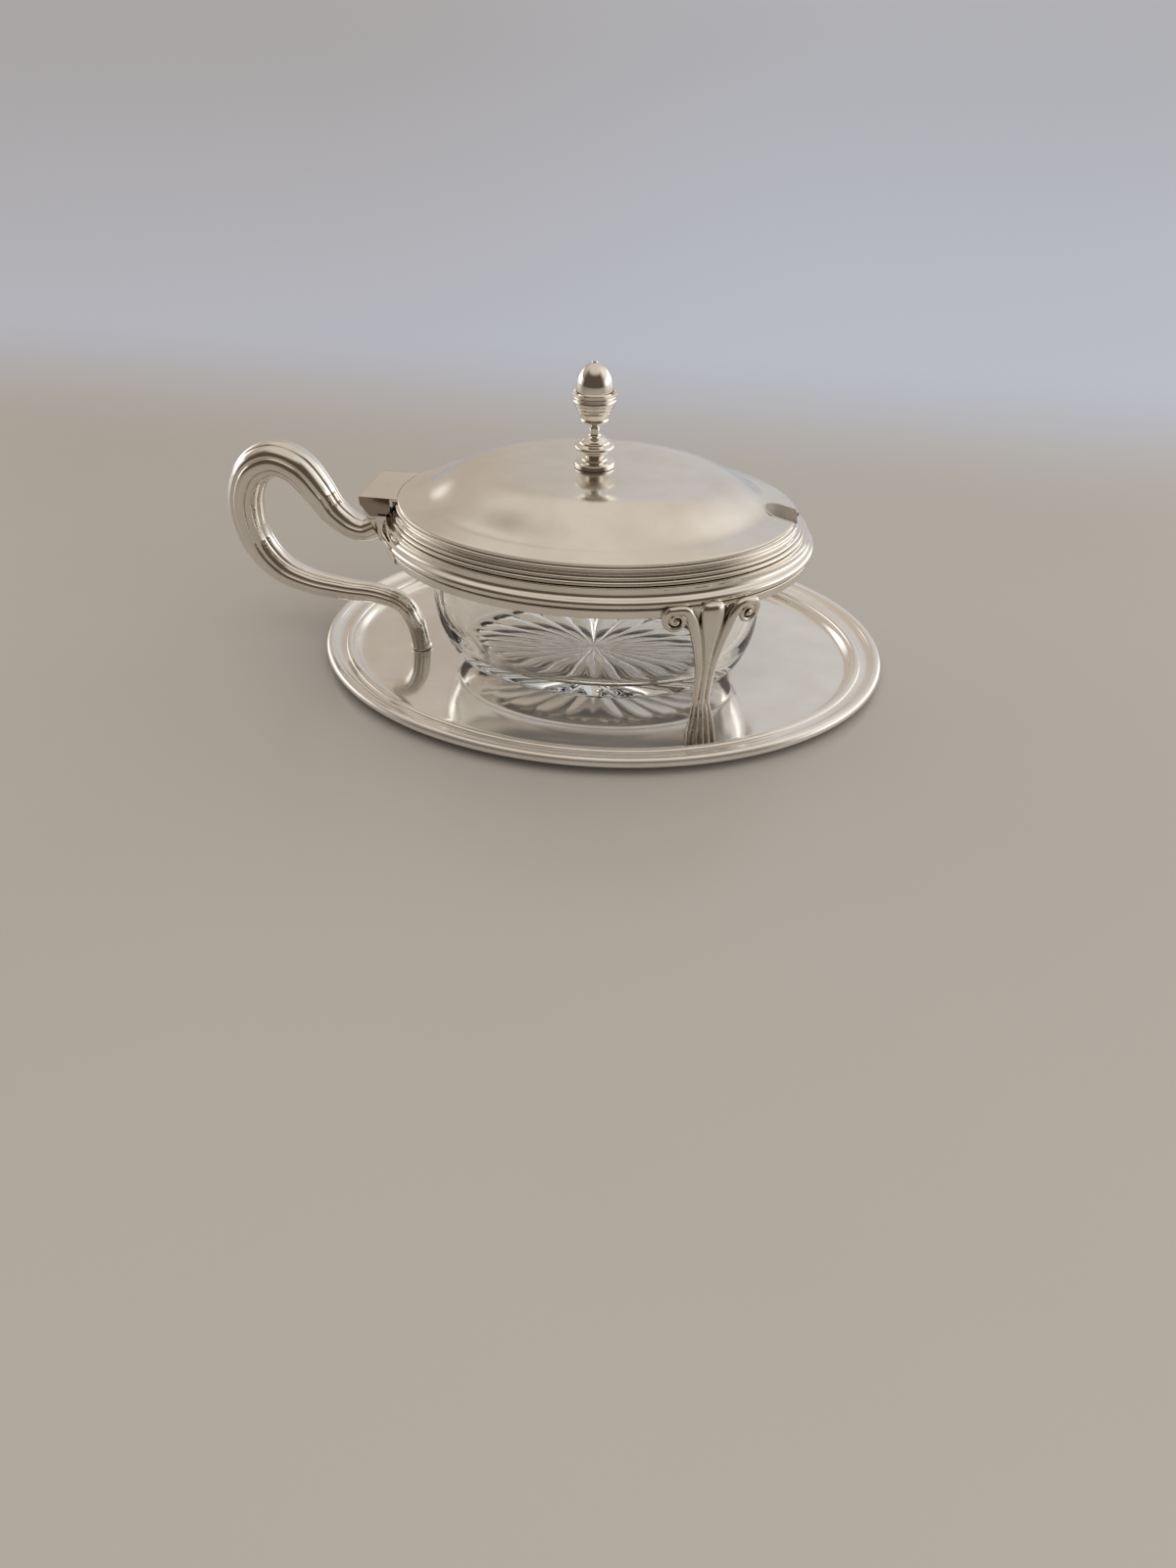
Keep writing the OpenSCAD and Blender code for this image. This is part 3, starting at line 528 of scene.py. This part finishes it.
def makeNotchCutter(inset, low):
    # A round bar, drawn out towards the lid's edge
    n = notchShape
    clearSelection()
    r = n["wide"] / 2
    x = lidHalf[0] - n["deep"] + r
    bpy.ops.mesh.primitive_cylinder_add(vertices=64, radius=(r - inset) * perMm, depth=n["tall"] * perMm,
                                        location=mm(*onStand(x, 0, low + n["tall"] / 2)))
    cutter = bpy.context.object
    applyPlace()
    bpy.ops.object.mode_set(mode="EDIT")
    bpy.ops.mesh.select_all(action="DESELECT")
    bpy.ops.object.mode_set(mode="OBJECT")
    for vert in cutter.data.vertices:
        vert.select = vert.co.x > (standMiddle[0] + x + 0.01) * perMm
    bpy.ops.object.mode_set(mode="EDIT")
    bpy.ops.mesh.select_mode(type="VERT")
    bpy.ops.transform.translate(value=mm(n["reach"], 0, 0))
    bpy.ops.object.mode_set(mode="OBJECT")
    return cutter


def makeNotchLining():
    # A thin wall soldered round the notch
    n = notchShape
    wall, inside = makeNotchCutter(0.0, n["from"]), makeNotchCutter(n["lining"], n["from"])
    cutAway(wall, inside)
    long, wide = lidHalf
    rings = offsetRings(lidHalf, n["liningFoot"])
    rings += [(long * f, wide * f, lidShape["edge"] + lidHeight(f) + n["proud"]) for f in n["liningShares"]]
    limit = loftRings(standMiddle, rings, ends="face")
    cutAway(wall, limit, "INTERSECT")
    for cutter in (inside, limit):
        bpy.data.objects.remove(cutter)
    softShade(wall, 35)
    return keepPiece(wall, "notchLining", "lid", "satinSilver")


def makeLid(cutter):
    edge, sheet, lip, hole = (lidShape[k] for k in ("edge", "sheet", "edgeRound", "hole"))
    shares = lidShape["rimShares"] + lidShape["domeShares"]
    over = [(s * lidHalf[0], s * lidHalf[1], edge + lidHeight(s) - (lip if s == 1.0 else 0)) for s in shares]
    top = edge + lidShape["rise"]
    rings = over + [(hole, hole, top), (hole, hole, top - sheet)]
    rings += [(long, wide, up - sheet + (lip if long == lidHalf[0] else 0)) for long, wide, up in reversed(over)]
    piece = loftRings(standMiddle, rings)
    cutAway(piece, cutter)
    softShade(piece, 30)
    return keepPiece(piece, "lidDome", "lid", "lidSilver", "lid_dome")


reedShape = {"under": [(-2.6, 43.96), (1.5, 43.96)], "lowReed": (1.75, 44.48, 0.5, -80, 92, 14), "step": [(1.5, 45.0)],
             "midReed": (1.12, 45.45, 0.46, -66, 92, 12),
             "hollow": [(1.0, 45.94), (0.65, 46.02), (0.38, 46.2), (0.26, 46.46), (0.32, 46.74)],
             "topReed": (0.32, 47.28, 0.5, -70, 92, 12), "over": [(0.1, 47.84), (-2.6, 47.84)]}


def makeLidBorder(cutter):
    s = reedShape
    line = s["under"] + arc(*s["lowReed"]) + s["step"] + arc(*s["midReed"]) + smoothLine(s["hollow"], 3)
    line += arc(*s["topReed"]) + s["over"]
    piece = loftRings(standMiddle, offsetRings(lidHalf, line))
    cutAway(piece, cutter)
    softShade(piece, 45)
    return keepPiece(piece, "lidBorder", "lid", "polishedSilver", "lid_border")


flangeShape = {"section": [(0.18, 42.55), (0.3, 42.5), (1.05, 42.5), (1.16, 42.6), (1.16, 44.05), (0.18, 44.05)]}


def makeLidFlange(cutter):
    piece = loftRings(standMiddle, offsetRings(lidHalf, flangeShape["section"]))
    cutAway(piece, cutter)
    softShade(piece, 40)
    return keepPiece(piece, "lidFlange", "lid", "polishedSilver", "lid_flange")


notchCutter = makeNotchCutter(0.0, notchShape["from"])
reedCutter = makeNotchCutter(0.0, notchShape["low"])  # the lower reeds stay whole
makeLid(notchCutter)
makeLidBorder(reedCutter)
makeLidFlange(notchCutter)
for cutter in (notchCutter, reedCutter):
    bpy.data.objects.remove(cutter)
makeNotchLining()
print("lid made")

# Finial, turned in three pieces: (radius, up) corners of each
finialShape = {
    "collarUp": 58.15, "cupUp": 60.8, "acornUp": 76.85,
    "collar": [(1.05, 0), (4.8, 0), (5.1, 0.35), (5.12, 0.8), (4.95, 1.15), (4.4, 1.4), (3.5, 1.55), (3.25, 1.7),
               (3.2, 1.95), (2.9, 2.15), (2.4, 2.3), (2.15, 2.58), (1.05, 2.58)],
    "cup": [(0.3, 0), (2.05, 0), (2.0, 0.25), (2.35, 0.55), (3.4, 0.8), (3.85, 1.0), (4.0, 1.25), (4.15, 1.5),
            (4.75, 1.8), (5.05, 2.3), (4.95, 2.75), (4.4, 3.1), (3.9, 3.35), (3.75, 3.7), (3.3, 4.0), (2.75, 4.5),
            (2.2, 4.9), (1.6, 5.2), (1.42, 5.8), (1.4, 6.8), (1.5, 7.6), (2.0, 8.0), (2.4, 8.3), (2.9, 8.5),
            (3.5, 8.85), (3.6, 9.2), (3.45, 9.5), (3.5, 9.8), (3.9, 10.5), (4.2, 11.15), (4.3, 11.5), (4.6, 11.75),
            (4.8, 12.1), (4.85, 12.5), (5.0, 12.75), (5.2, 13.05), (5.25, 13.4), (5.4, 13.6), (5.52, 13.85),
            (5.45, 14.2), (5.35, 14.4), (5.45, 14.7), (5.52, 15.0), (5.42, 15.3), (5.5, 15.5), (5.72, 15.75),
            (5.75, 15.95), (5.55, 16.0), (5.2, 15.85), (4.7, 15.3), (0.3, 15.3)],
    "acorn": [(0.3, -0.6), (4.3, -0.6), (4.55, 0.0), (4.65, 0.8), (4.6, 1.7), (4.45, 2.6), (4.15, 3.5), (3.7, 4.4),
              (3.15, 5.2), (2.5, 5.9), (1.75, 6.45), (1.1, 6.75), (0.8, 6.85), (0.72, 7.0), (0.62, 7.2),
              (0.35, 7.3), (0.1, 7.32)],
}


def makeFinial():
    f = finialShape
    collar = turnPiece((0, 0, f["collarUp"]), f["collar"], 96, "loop")
    cup = turnPiece((0, 0, f["cupUp"]), f["cup"], 96)
    acorn = turnPiece((0, 0, f["acornUp"]), f["acorn"], 96)
    for piece in (collar, cup, acorn):
        softShade(piece, 50)
    keepPiece(collar, "finialCollar", "lid", "polishedSilver", "finial_collar")
    keepPiece(cup, "finialCup", "lid", "polishedSilver", "finial_cup")
    keepPiece(acorn, "finialAcorn", "lid", "polishedSilver", "finial_acorn")


makeFinial()
print("finial made")

# Hinge
hingeShape = {"x": -58.6, "z": 44.1, "tube": 2.0, "half": 8.5, "lidHalf": 3.5, "gap": 0.3, "tubeEdge": 0.2,
              "bore": 0.03, "boreHalf": 20, "shelfOut": 1.4, "shelfIn": -52.8, "shelfLow": 41.3, "shelfTop": 43.4,
              "shelfEdge": 0.3, "ringCut": [(1.7, 30), (1.7, 50)], "dropX": -58.8,
              "drop": [(0.5, 0.8, 32.3), (1.2, 1.9, 32.7), (1.7, 2.8, 34.0), (1.9, 3.3, 36.5), (1.9, 3.5, 39.0),
                       (1.7, 3.3, 40.7)]}


def makeHinge():
    h = hingeShape
    x, z, gap, tube, half, lidLong = (h[k] for k in ("x", "z", "gap", "tube", "half", "lidHalf"))
    lower = loftRings(onStand(h["dropX"], 0, 0), smoothLine(h["drop"], 4), sides=64, ends="face")
    shelf = addBlock(onStand(x - h["shelfOut"], -half, h["shelfLow"]), onStand(h["shelfIn"], half, h["shelfTop"]),
                     h["shelfEdge"], 2)
    bore = addBar(onStand(x, 0, z), tube + h["bore"], h["boreHalf"])
    ring = loftRings(standMiddle, offsetRings(lidHalf, h["ringCut"]), ends="face")
    for cutter in (bore, ring):
        cutAway(shelf, cutter)
        bpy.data.objects.remove(cutter)
    bracket = joinPieces([lower, shelf])
    room = addBar(onStand(x, 0, z), tube + gap, lidLong + gap)
    cutAway(bracket, room)
    bpy.data.objects.remove(room)
    long = half - lidLong - gap
    knuckles = joinPieces([addBar(onStand(x, side * (half - long / 2), z), tube, long / 2, h["tubeEdge"])
                           for side in (-1, 1)])
    middle = addBar(onStand(x, 0, z), tube, lidLong, h["tubeEdge"])
    for piece in (bracket, knuckles, middle):
        softShade(piece, 35)
    keepPiece(bracket, "hingeBracket", "stand", "polishedSilver", "hinge_bracket")
    keepPiece(knuckles, "frameKnuckles", "stand", "wornSilver", "frame_knuckles", "hinge_pin")
    keepPiece(middle, "lidKnuckle", "lid", "wornSilver", "lid_knuckle")


plateShape = {"cheek": 0.8, "out": 2.4, "up": 2.25, "top": 48.7, "inner": -47.5, "inset": 0.1, "edge": 0.25,
              "saddle": 1.2, "saddleUp": 0.4, "cheekIn": -52.6, "cheekOut": 0.02, "cheekDrop": 0.04, "cheekEdge": 0.12,
              "curl": [(-0.1, -0.5), (0.9, -0.8), (2.0, -0.6), (2.4, 0.15)],
              "domeCut": [(0.05, 47.6), (0.05, 60)], "reedCut": [(1.4, 40), (1.4, 47.95)]}


def cutCheek(outline, y):
    # An upright plate cut to an outline of (x, up) corners
    curve = newCurve("plate", "2D")
    curve.fill_mode = "BOTH"
    curve.extrude = plateShape["cheek"] / 2 * perMm
    addSpline(curve, [(standMiddle[0] + x, standMiddle[2] + up, 0) for x, up in outline], closed=True)
    cheek = meshFromCurve("plate", curve)
    cheek.rotation_euler = (math.pi / 2, 0, 0)
    cheek.location = mm(0, standMiddle[1] + y, 0)
    applyPlace()
    weldPoints()
    applyModifier(cheek, "BEVEL", width=plateShape["cheekEdge"] * perMm, segments=2, limit_method="ANGLE")
    return cheek


def makeThumbPlate():
    h, p = hingeShape, plateShape
    x, z, saddle = h["x"], h["z"], p["saddle"]
    wide = h["half"] + h["gap"] + p["cheek"]
    left, under, top = x - p["out"], z + p["up"], p["top"]
    plate = addBlock(onStand(left, p["inset"] - wide, under), onStand(p["inner"], wide - p["inset"], top), p["edge"], 3)
    seat = addBlock(onStand(x - saddle, -h["lidHalf"], z + saddle),
                    onStand(x + saddle, h["lidHalf"], under + p["saddleUp"]), 0.1, 1)
    plate = joinPieces([plate, seat])
    outer, upper, curl = left - p["cheekOut"], top - p["cheekDrop"], p["curl"]
    outline = [(outer, upper), (outer, under + 0.2), (left + 0.5, under - 0.4)]
    outline += [(x + out, z + up) for out, up in curl]
    outline += [(p["cheekIn"], z + curl[-1][1]), (p["cheekIn"], upper)]
    cheeks = joinPieces([cutCheek(outline, side * (wide - p["cheek"] / 2)) for side in (-1, 1)])
    for cut in ("domeCut", "reedCut"):
        cutter = loftRings(standMiddle, offsetRings(lidHalf, p[cut]), ends="face")
        cutAway(plate, cutter)
        cutAway(cheeks, cutter)
        bpy.data.objects.remove(cutter)
    softShade(plate, 35)
    softShade(cheeks, 35)
    # the cheeks' brown colour is a painted dark reflection, not a tarnish of their own
    keepPiece(cheeks, "thumbCheeks", "lid", "paintedReflectionSilver")
    return keepPiece(plate, "thumbPlate", "lid", "polishedSilver", "thumb_plate")


makeHinge()
makeThumbPlate()
print("hinge made")

# Handle, a thick reeded rod: points are shares of its reach, of the joint's height and of its rise
handleShape = {
    "joint": (-60.3, 35.0), "reach": 38.0, "rise": 18.6, "wide": 11.4, "thick": 9.8, "groove": 0.09, "endShare": 0.5,
    "sink": 0.05, "reeds": 8, "sides": 96,
    "points": [(0, 1, 0.1), (0.1, 1, 0.02), (0.22, 1, 0.09), (0.34, 1, 0.3), (0.43, 1, 0.59), (0.55, 1, 0.89),
               (0.71, 1, 1), (0.88, 1, 0.84), (0.98, 1, 0.49), (1, 1, 0.09), (0.95, 0.81, 0), (0.8, 0.61, 0),
               (0.58, 0.51, 0), (0.31, 0.47, 0), (0.06, 0.455, 0), (-0.12, 0.39, 0), (-0.21, 0.24, 0),
               (-0.24, 0.09, 0), (-0.245, 0.012, 0)],
    "swell": [0.25, 0.35, 0.5, 0.65, 0.85, 1, 1, 1, 1, 0.95, 0.8, 0.6, 0.4, 0.25, 0.15, 0.1, 0.1, 0.1, 0.1],
    "foot": [(0.2, 0.05), (2.6, 0.05), (3.05, 0.3), (3.1, 0.8), (2.9, 1.3), (2.5, 1.7), (1.9, 2.1), (0.2, 2.2)],
}


def reededSection():
    # Outline of the rod: an oval with shallow reeds
    h = handleShape
    outline = []
    for i in range(h["sides"]):
        a = math.radians(360 / h["sides"] * i)
        share = 1 - h["groove"] * (1 - math.sqrt(abs(math.cos(h["reeds"] / 2 * a))))
        outline.append((h["wide"] / 2 * math.cos(a) * share, h["thick"] / 2 * math.sin(a) * share, 0))
    return outline


def makeHandle():
    h = handleShape
    jointX, jointZ = h["joint"]
    route = smoothLine([(jointX - u * h["reach"] - h["sink"], 0, p * jointZ + q * h["rise"], s)
                        for (u, p, q), s in zip(h["points"], h["swell"])], 8)
    section = newCurve("handleSection", "2D")
    addSpline(section, reededSection(), closed=True)
    outline = bpy.data.objects.new("handleSection", section)
    scene.collection.objects.link(outline)
    path = newCurve("handle", "3D")
    path.twist_mode = "MINIMUM"
    path.bevel_mode = "OBJECT"
    path.bevel_object = outline
    path.use_fill_caps = True
    addSpline(path, [onStand(x, y, z) for x, y, z, s in route],
              radii=[h["endShare"] + (1 - h["endShare"]) * s for x, y, z, s in route])
    rod = meshFromCurve("handle", path)
    bpy.data.objects.remove(outline)
    weldPoints()
    footX = jointX - h["points"][-1][0] * h["reach"] - h["sink"]
    piece = joinPieces([rod, turnPiece((footX, 0, 0), h["foot"], 64)])
    softShade(piece, 40)
    return keepPiece(piece, "handleStrap", "stand", "polishedSilver", "handle")


makeHandle()
print("handle made")

# Legs, cast with two scrolls and a paw: lofts are (half depth, half width, up), rods (depth, across, up, radius)
legShape = {
    "turn": -60.7, "face": -62, "radius": 70, "away": 28, "scrollY": 9.24, "scrollZ": 36.4, "voxel": 0.14,
    "lean": 0.07, "leanFrom": 9, "sway": 0.03, "swayFrom": 25, "round": 90, "cut": 0.02,
    "paw": [(1.0, 3.2, 0.1), (1.6, 3.6, 0.8), (1.8, 3.6, 2.0), (1.6, 3.4, 4.0), (1.0, 2.9, 6.5), (0.5, 2.3, 9.5),
            (0.25, 1.9, 12.5)],
    "shaft": [(0.8, 1.9, 9.0), (0.85, 1.8, 13), (0.9, 1.9, 17), (0.95, 2.3, 21), (1.0, 2.8, 25), (1.0, 3.8, 29),
              (1.0, 5.0, 33), (1.0, 6.8, 36.5), (1.0, 8.2, 38.2), (1.0, 8.6, 39.4)],
    "middle": [(0.7, 0.5, 6.5), (0.95, 0.62, 9.5), (1.05, 0.7, 13), (1.1, 0.76, 17.4), (1.2, 0.88, 21.3),
               (1.45, 1.25, 25.2), (1.7, 1.95, 29.4), (2.0, 2.8, 33.2), (2.15, 3.2, 36.4), (2.1, 3.2, 38.2),
               (1.8, 2.75, 39.4), (1.2, 1.9, 40.1), (0.5, 0.8, 40.35)],
    "rib": [(-0.7, 1.9, 6.5, 0.4), (-0.5, 1.8, 9.5, 0.62), (-0.45, 1.6, 13, 0.75), (-0.3, 1.6, 17, 0.8),
            (-0.1, 1.8, 21.3, 0.95), (0.0, 2.3, 25.2, 1.08), (0.1, 3.15, 29.4, 1.25), (0.2, 4.15, 33.2, 1.36),
            (0.3, 5.4, 36.8, 1.36), (0.4, 7.2, 39.0, 1.2)],
    "coil": [(3.2, 1.1), (2.45, 0.74), (2.2, 0.66), (1.85, 0.6), (1.5, 0.52), (1.08, 0.46), (0.7, 0.42), (0.48, 0.4)],
    "coilTurn": 9, "coilDepth": 0.55, "coilRise": 0.006, "coilStart": 3, "eye": 0.66, "eyeDepth": 0.85,
    "disc": 2.3, "discDepths": (-1.6, -0.8, 0.2),
    "toes": 5, "toeFall": 0.4,  # each toe: (depth, more depth in the middle, across, up, radius)
    "toe": [(-1.0, 0, 1.35, 15.0, 0.3), (-0.55, 0.3, 1.85, 11.4, 0.5), (0.1, 0.6, 2.4, 8.4, 0.6),
            (0.4, 1.0, 2.85, 5.8, 0.68), (0.6, 1.4, 3.2, 3.2, 0.76), (0.7, 1.6, 3.35, 1.6, 0.82)],
    "claw": (0.75, 1.65, 3.38, 1.1, 0.88),
}


def drawRod(points, sides):
    # A round rod through points (depth, across, up, radius) in millimetres
    curve = newCurve("rod", "3D")
    curve.bevel_depth = perMm
    curve.bevel_resolution = sides
    curve.use_fill_caps = True
    addSpline(curve, [point[:3] for point in points], radii=[point[3] for point in points])
    return meshFromCurve("rod", curve)


def addBall(place, r, squash):
    clearSelection()
    bpy.ops.mesh.primitive_uv_sphere_add(segments=24, ring_count=14, radius=r * perMm, location=mm(*place))
    ball = bpy.context.object
    ball.scale = squash
    applyPlace()
    return ball


def makeLegParts():
    g = legShape
    parts = [loftRings((-0.2, 0, 0), smoothLine(g["paw"], 2), sides=64, ends="face"),
             loftRings((-1.0, 0, 0), smoothLine(g["shaft"], 2), sides=64, ends="face"),
             loftRings((-0.3, 0, 0), smoothLine(g["middle"], 3), sides=64, ends="face")]
    y0, z0, first = g["scrollY"], g["scrollZ"], g["coilStart"]
    coil = []
    for i, (r, thick) in enumerate(smoothLine(g["coil"], 10)):
        a = math.radians(90 + g["coilTurn"] * i)  # from the top, away from the shaft
        coil.append((g["coilDepth"] + g["coilRise"] * i, y0 - r * math.cos(a), z0 + r * math.sin(a), thick))
    path = smoothLine(g["rib"] + coil[first:first + 1], 6)[:-1] + coil[first:]
    for side in (-1, 1):
        parts.append(drawRod([(x, side * y, z, r) for x, y, z, r in path], 8))
        parts.append(addBall((g["eyeDepth"], side * y0, z0), g["eye"], (1.1, 1, 1)))
        parts.append(drawRod([(x, side * y0, z0, g["disc"]) for x in g["discDepths"]], 12))
    for i in range(g["toes"]):
        f = (i - 2) / 2
        out = 1 - g["toeFall"] * f * f
        toe = [(depth + more * out, across * f, up, r) for depth, more, across, up, r in g["toe"]]
        parts.append(drawRod(smoothLine(toe, 5), 8))
        depth, more, across, up, r = g["claw"]
        parts.append(addBall((depth + more * out, across * f, up), r, (1.15, 0.95, 1.15)))
    return parts


def makeLegs():
    g = legShape
    front = joinPieces(makeLegParts())
    applyModifier(front, "REMESH", mode="VOXEL", voxel_size=g["voxel"] * perMm)
    applyModifier(front, "SMOOTH", factor=0.5, iterations=6)
    bpy.ops.object.mode_set(mode="EDIT")
    bpy.ops.mesh.select_mode(type="VERT")
    bpy.ops.mesh.select_all(action="SELECT")
    bpy.ops.mesh.bisect(plane_co=mm(0, 0, g["cut"]), plane_no=(0, 0, 1), use_fill=True, clear_inner=True)
    bpy.ops.object.mode_set(mode="OBJECT")
    leanFrom, swayFrom = mm(g["leanFrom"], g["swayFrom"])
    for vert in front.data.vertices:  # the leg leans out and follows the frame's curve
        vert.co.x += g["lean"] * max(vert.co.z - leanFrom, 0) - vert.co.y ** 2 * 1000 / g["round"]
        vert.co.y += g["sway"] * (vert.co.z - swayFrom)
    angle = math.radians(g["turn"])
    front.rotation_euler = (0, 0, math.radians(g["face"]))
    front.location = mm(*onStand(g["radius"] * math.cos(angle), g["away"] + g["radius"] * math.sin(angle), 0))
    pickOnly(front)
    applyPlace()
    back = front.copy()
    back.data = front.data.copy()
    scene.collection.objects.link(back)
    pickOnly(back)
    bpy.ops.object.mode_set(mode="EDIT")
    bpy.ops.mesh.select_all(action="SELECT")
    bpy.ops.transform.resize(value=(1, -1, 1), center_override=mm(0, standMiddle[1], 0))
    bpy.ops.mesh.normals_make_consistent(inside=False)
    bpy.ops.object.mode_set(mode="OBJECT")
    for piece, name, node in ((front, "legFront", "leg_front"), (back, "legBack", "leg_back")):
        softShade(piece, 60)
        keepPiece(piece, name, "stand", "wornSilver", node)


makeLegs()
print("legs made")

# What stays from the model under the lid
for name in ("finial_stud", "finial_washer", "finial_nut"):
    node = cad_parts[name]
    node.data.materials.clear()
    node.data.materials.append(finishes["wornSilver"])
print("fixings under the lid finished")

# Table and light
tableShape = {"size": 30, "height": -0.0001, "warm": (0.47, 0.447, 0.412, 1), "cloud": (0.445, 0.422, 0.388, 1),
              "far": (0.56, 0.625, 0.775, 1), "farFrom": 0.13, "farTo": 0.32, "cloudScale": 7.0, "rough": 0.28}


def makeTable():
    t = tableShape
    clearSelection()
    bpy.ops.mesh.primitive_plane_add(size=t["size"], location=(0, 0, t["height"]))
    table = bpy.context.object
    table.name = "table"
    mat = bpy.data.materials.new("paintedTable")
    mat.use_nodes = True
    tree = mat.node_tree
    skin = tree.nodes["Principled BSDF"]
    place = addNode(tree, "ShaderNodeTexCoord").outputs["Object"]
    depth = addNode(tree, "ShaderNodeSeparateXYZ", {0: place})
    fade = addNode(tree, "ShaderNodeMapRange", {"Value": depth.outputs[1], "From Min": t["farFrom"],
                                                "From Max": t["farTo"]}, interpolation_type="SMOOTHSTEP")
    cloud = addNode(tree, "ShaderNodeTexNoise", {"Vector": place, "Scale": t["cloudScale"], "Detail": 3.0})
    warm = addNode(tree, "ShaderNodeMix", {6: t["warm"], 7: t["cloud"], 0: cloud.outputs[0]}, data_type="RGBA")
    full = addNode(tree, "ShaderNodeMix", {6: warm.outputs[2], 7: t["far"], 0: fade.outputs[0]}, data_type="RGBA")
    tree.links.new(full.outputs[2], skin.inputs["Base Color"])
    skin.inputs["Roughness"].default_value = t["rough"]
    table.data.materials.append(mat)


lampShape = {"place": (0.4, -0.65, 1.0), "aim": (0.02, 0, 0.03), "size": (1.9, 1.6), "power": 10.5,
             "colour": (1.0, 0.985, 0.96)}


def addLamp():
    data = bpy.data.lights.new("window", "AREA")
    data.shape = "RECTANGLE"
    data.size, data.size_y = lampShape["size"]
    data.energy = lampShape["power"]
    data.color = lampShape["colour"]
    lamp = bpy.data.objects.new("window", data)
    scene.collection.objects.link(lamp)
    lamp.location = lampShape["place"]
    way = Vector(lampShape["aim"]) - Vector(lampShape["place"])
    lamp.rotation_euler = way.to_track_quat("-Z", "Y").to_euler()
    lamp.visible_glossy = False  # the silver mirrors the room's walls instead


# Colours of the room, and the share of each direction (x, y or z) where one wall fades into the next
roomShape = {"front": (0.10, 0.075, 0.055, 1), "back": (0.60, 0.59, 0.595, 1), "left": (0.52, 0.455, 0.39, 1),
             "upper": (0.68, 0.62, 0.55, 1), "right": (0.95, 0.91, 0.85, 1), "window": (1.7, 1.66, 1.6, 1),
             "backdrop": (0.50, 0.53, 0.60, 1), "leftEnd": (-0.4, 0.0), "upperStart": (0.6, 0.85),
             "rightStart": (0.15, 0.75), "windowRight": (0.35, 0.6), "windowLeft": (-0.6, -0.8),
             "windowTop": (0.4, 0.3), "frontEnd": (-0.5, 0.2), "overhead": (0.68, 0.94)}


def makeRoom():
    r = roomShape
    world = bpy.data.worlds.new("softRoom")
    scene.world = world
    world.use_nodes = True
    tree = world.node_tree
    sky = tree.nodes["Background"]
    way = addNode(tree, "ShaderNodeTexCoord").outputs["Generated"]
    x, y, z = addNode(tree, "ShaderNodeSeparateXYZ", {0: way}).outputs

    def step(value, edge):
        start, end = r[edge]
        return addNode(tree, "ShaderNodeMapRange", {"Value": value, "From Min": start, "From Max": end},
                       interpolation_type="SMOOTHSTEP").outputs[0]

    def blend(a, b, share):
        return addNode(tree, "ShaderNodeMix", {6: a, 7: b, 0: share}, data_type="RGBA").outputs[2]

    wall = blend(r["left"], r["back"], step(x, "leftEnd"))
    ceiling = blend(wall, r["upper"], step(z, "upperStart"))
    bright = blend(ceiling, r["right"], step(x, "rightStart"))
    sides = mathNode(tree, "MAXIMUM", step(x, "windowRight"), step(x, "windowLeft"))
    bright = blend(bright, r["window"], mathNode(tree, "MULTIPLY", sides, step(z, "windowTop")))
    share = mathNode(tree, "MAXIMUM", step(y, "frontEnd"), step(z, "overhead"))
    seen = addNode(tree, "ShaderNodeLightPath").outputs["Is Camera Ray"]
    tree.links.new(blend(blend(r["front"], bright, share), r["backdrop"], seen), sky.inputs["Color"])
    sky.inputs["Strength"].default_value = 1.0


makeTable()
makeRoom()
addLamp()
print("table and light made")
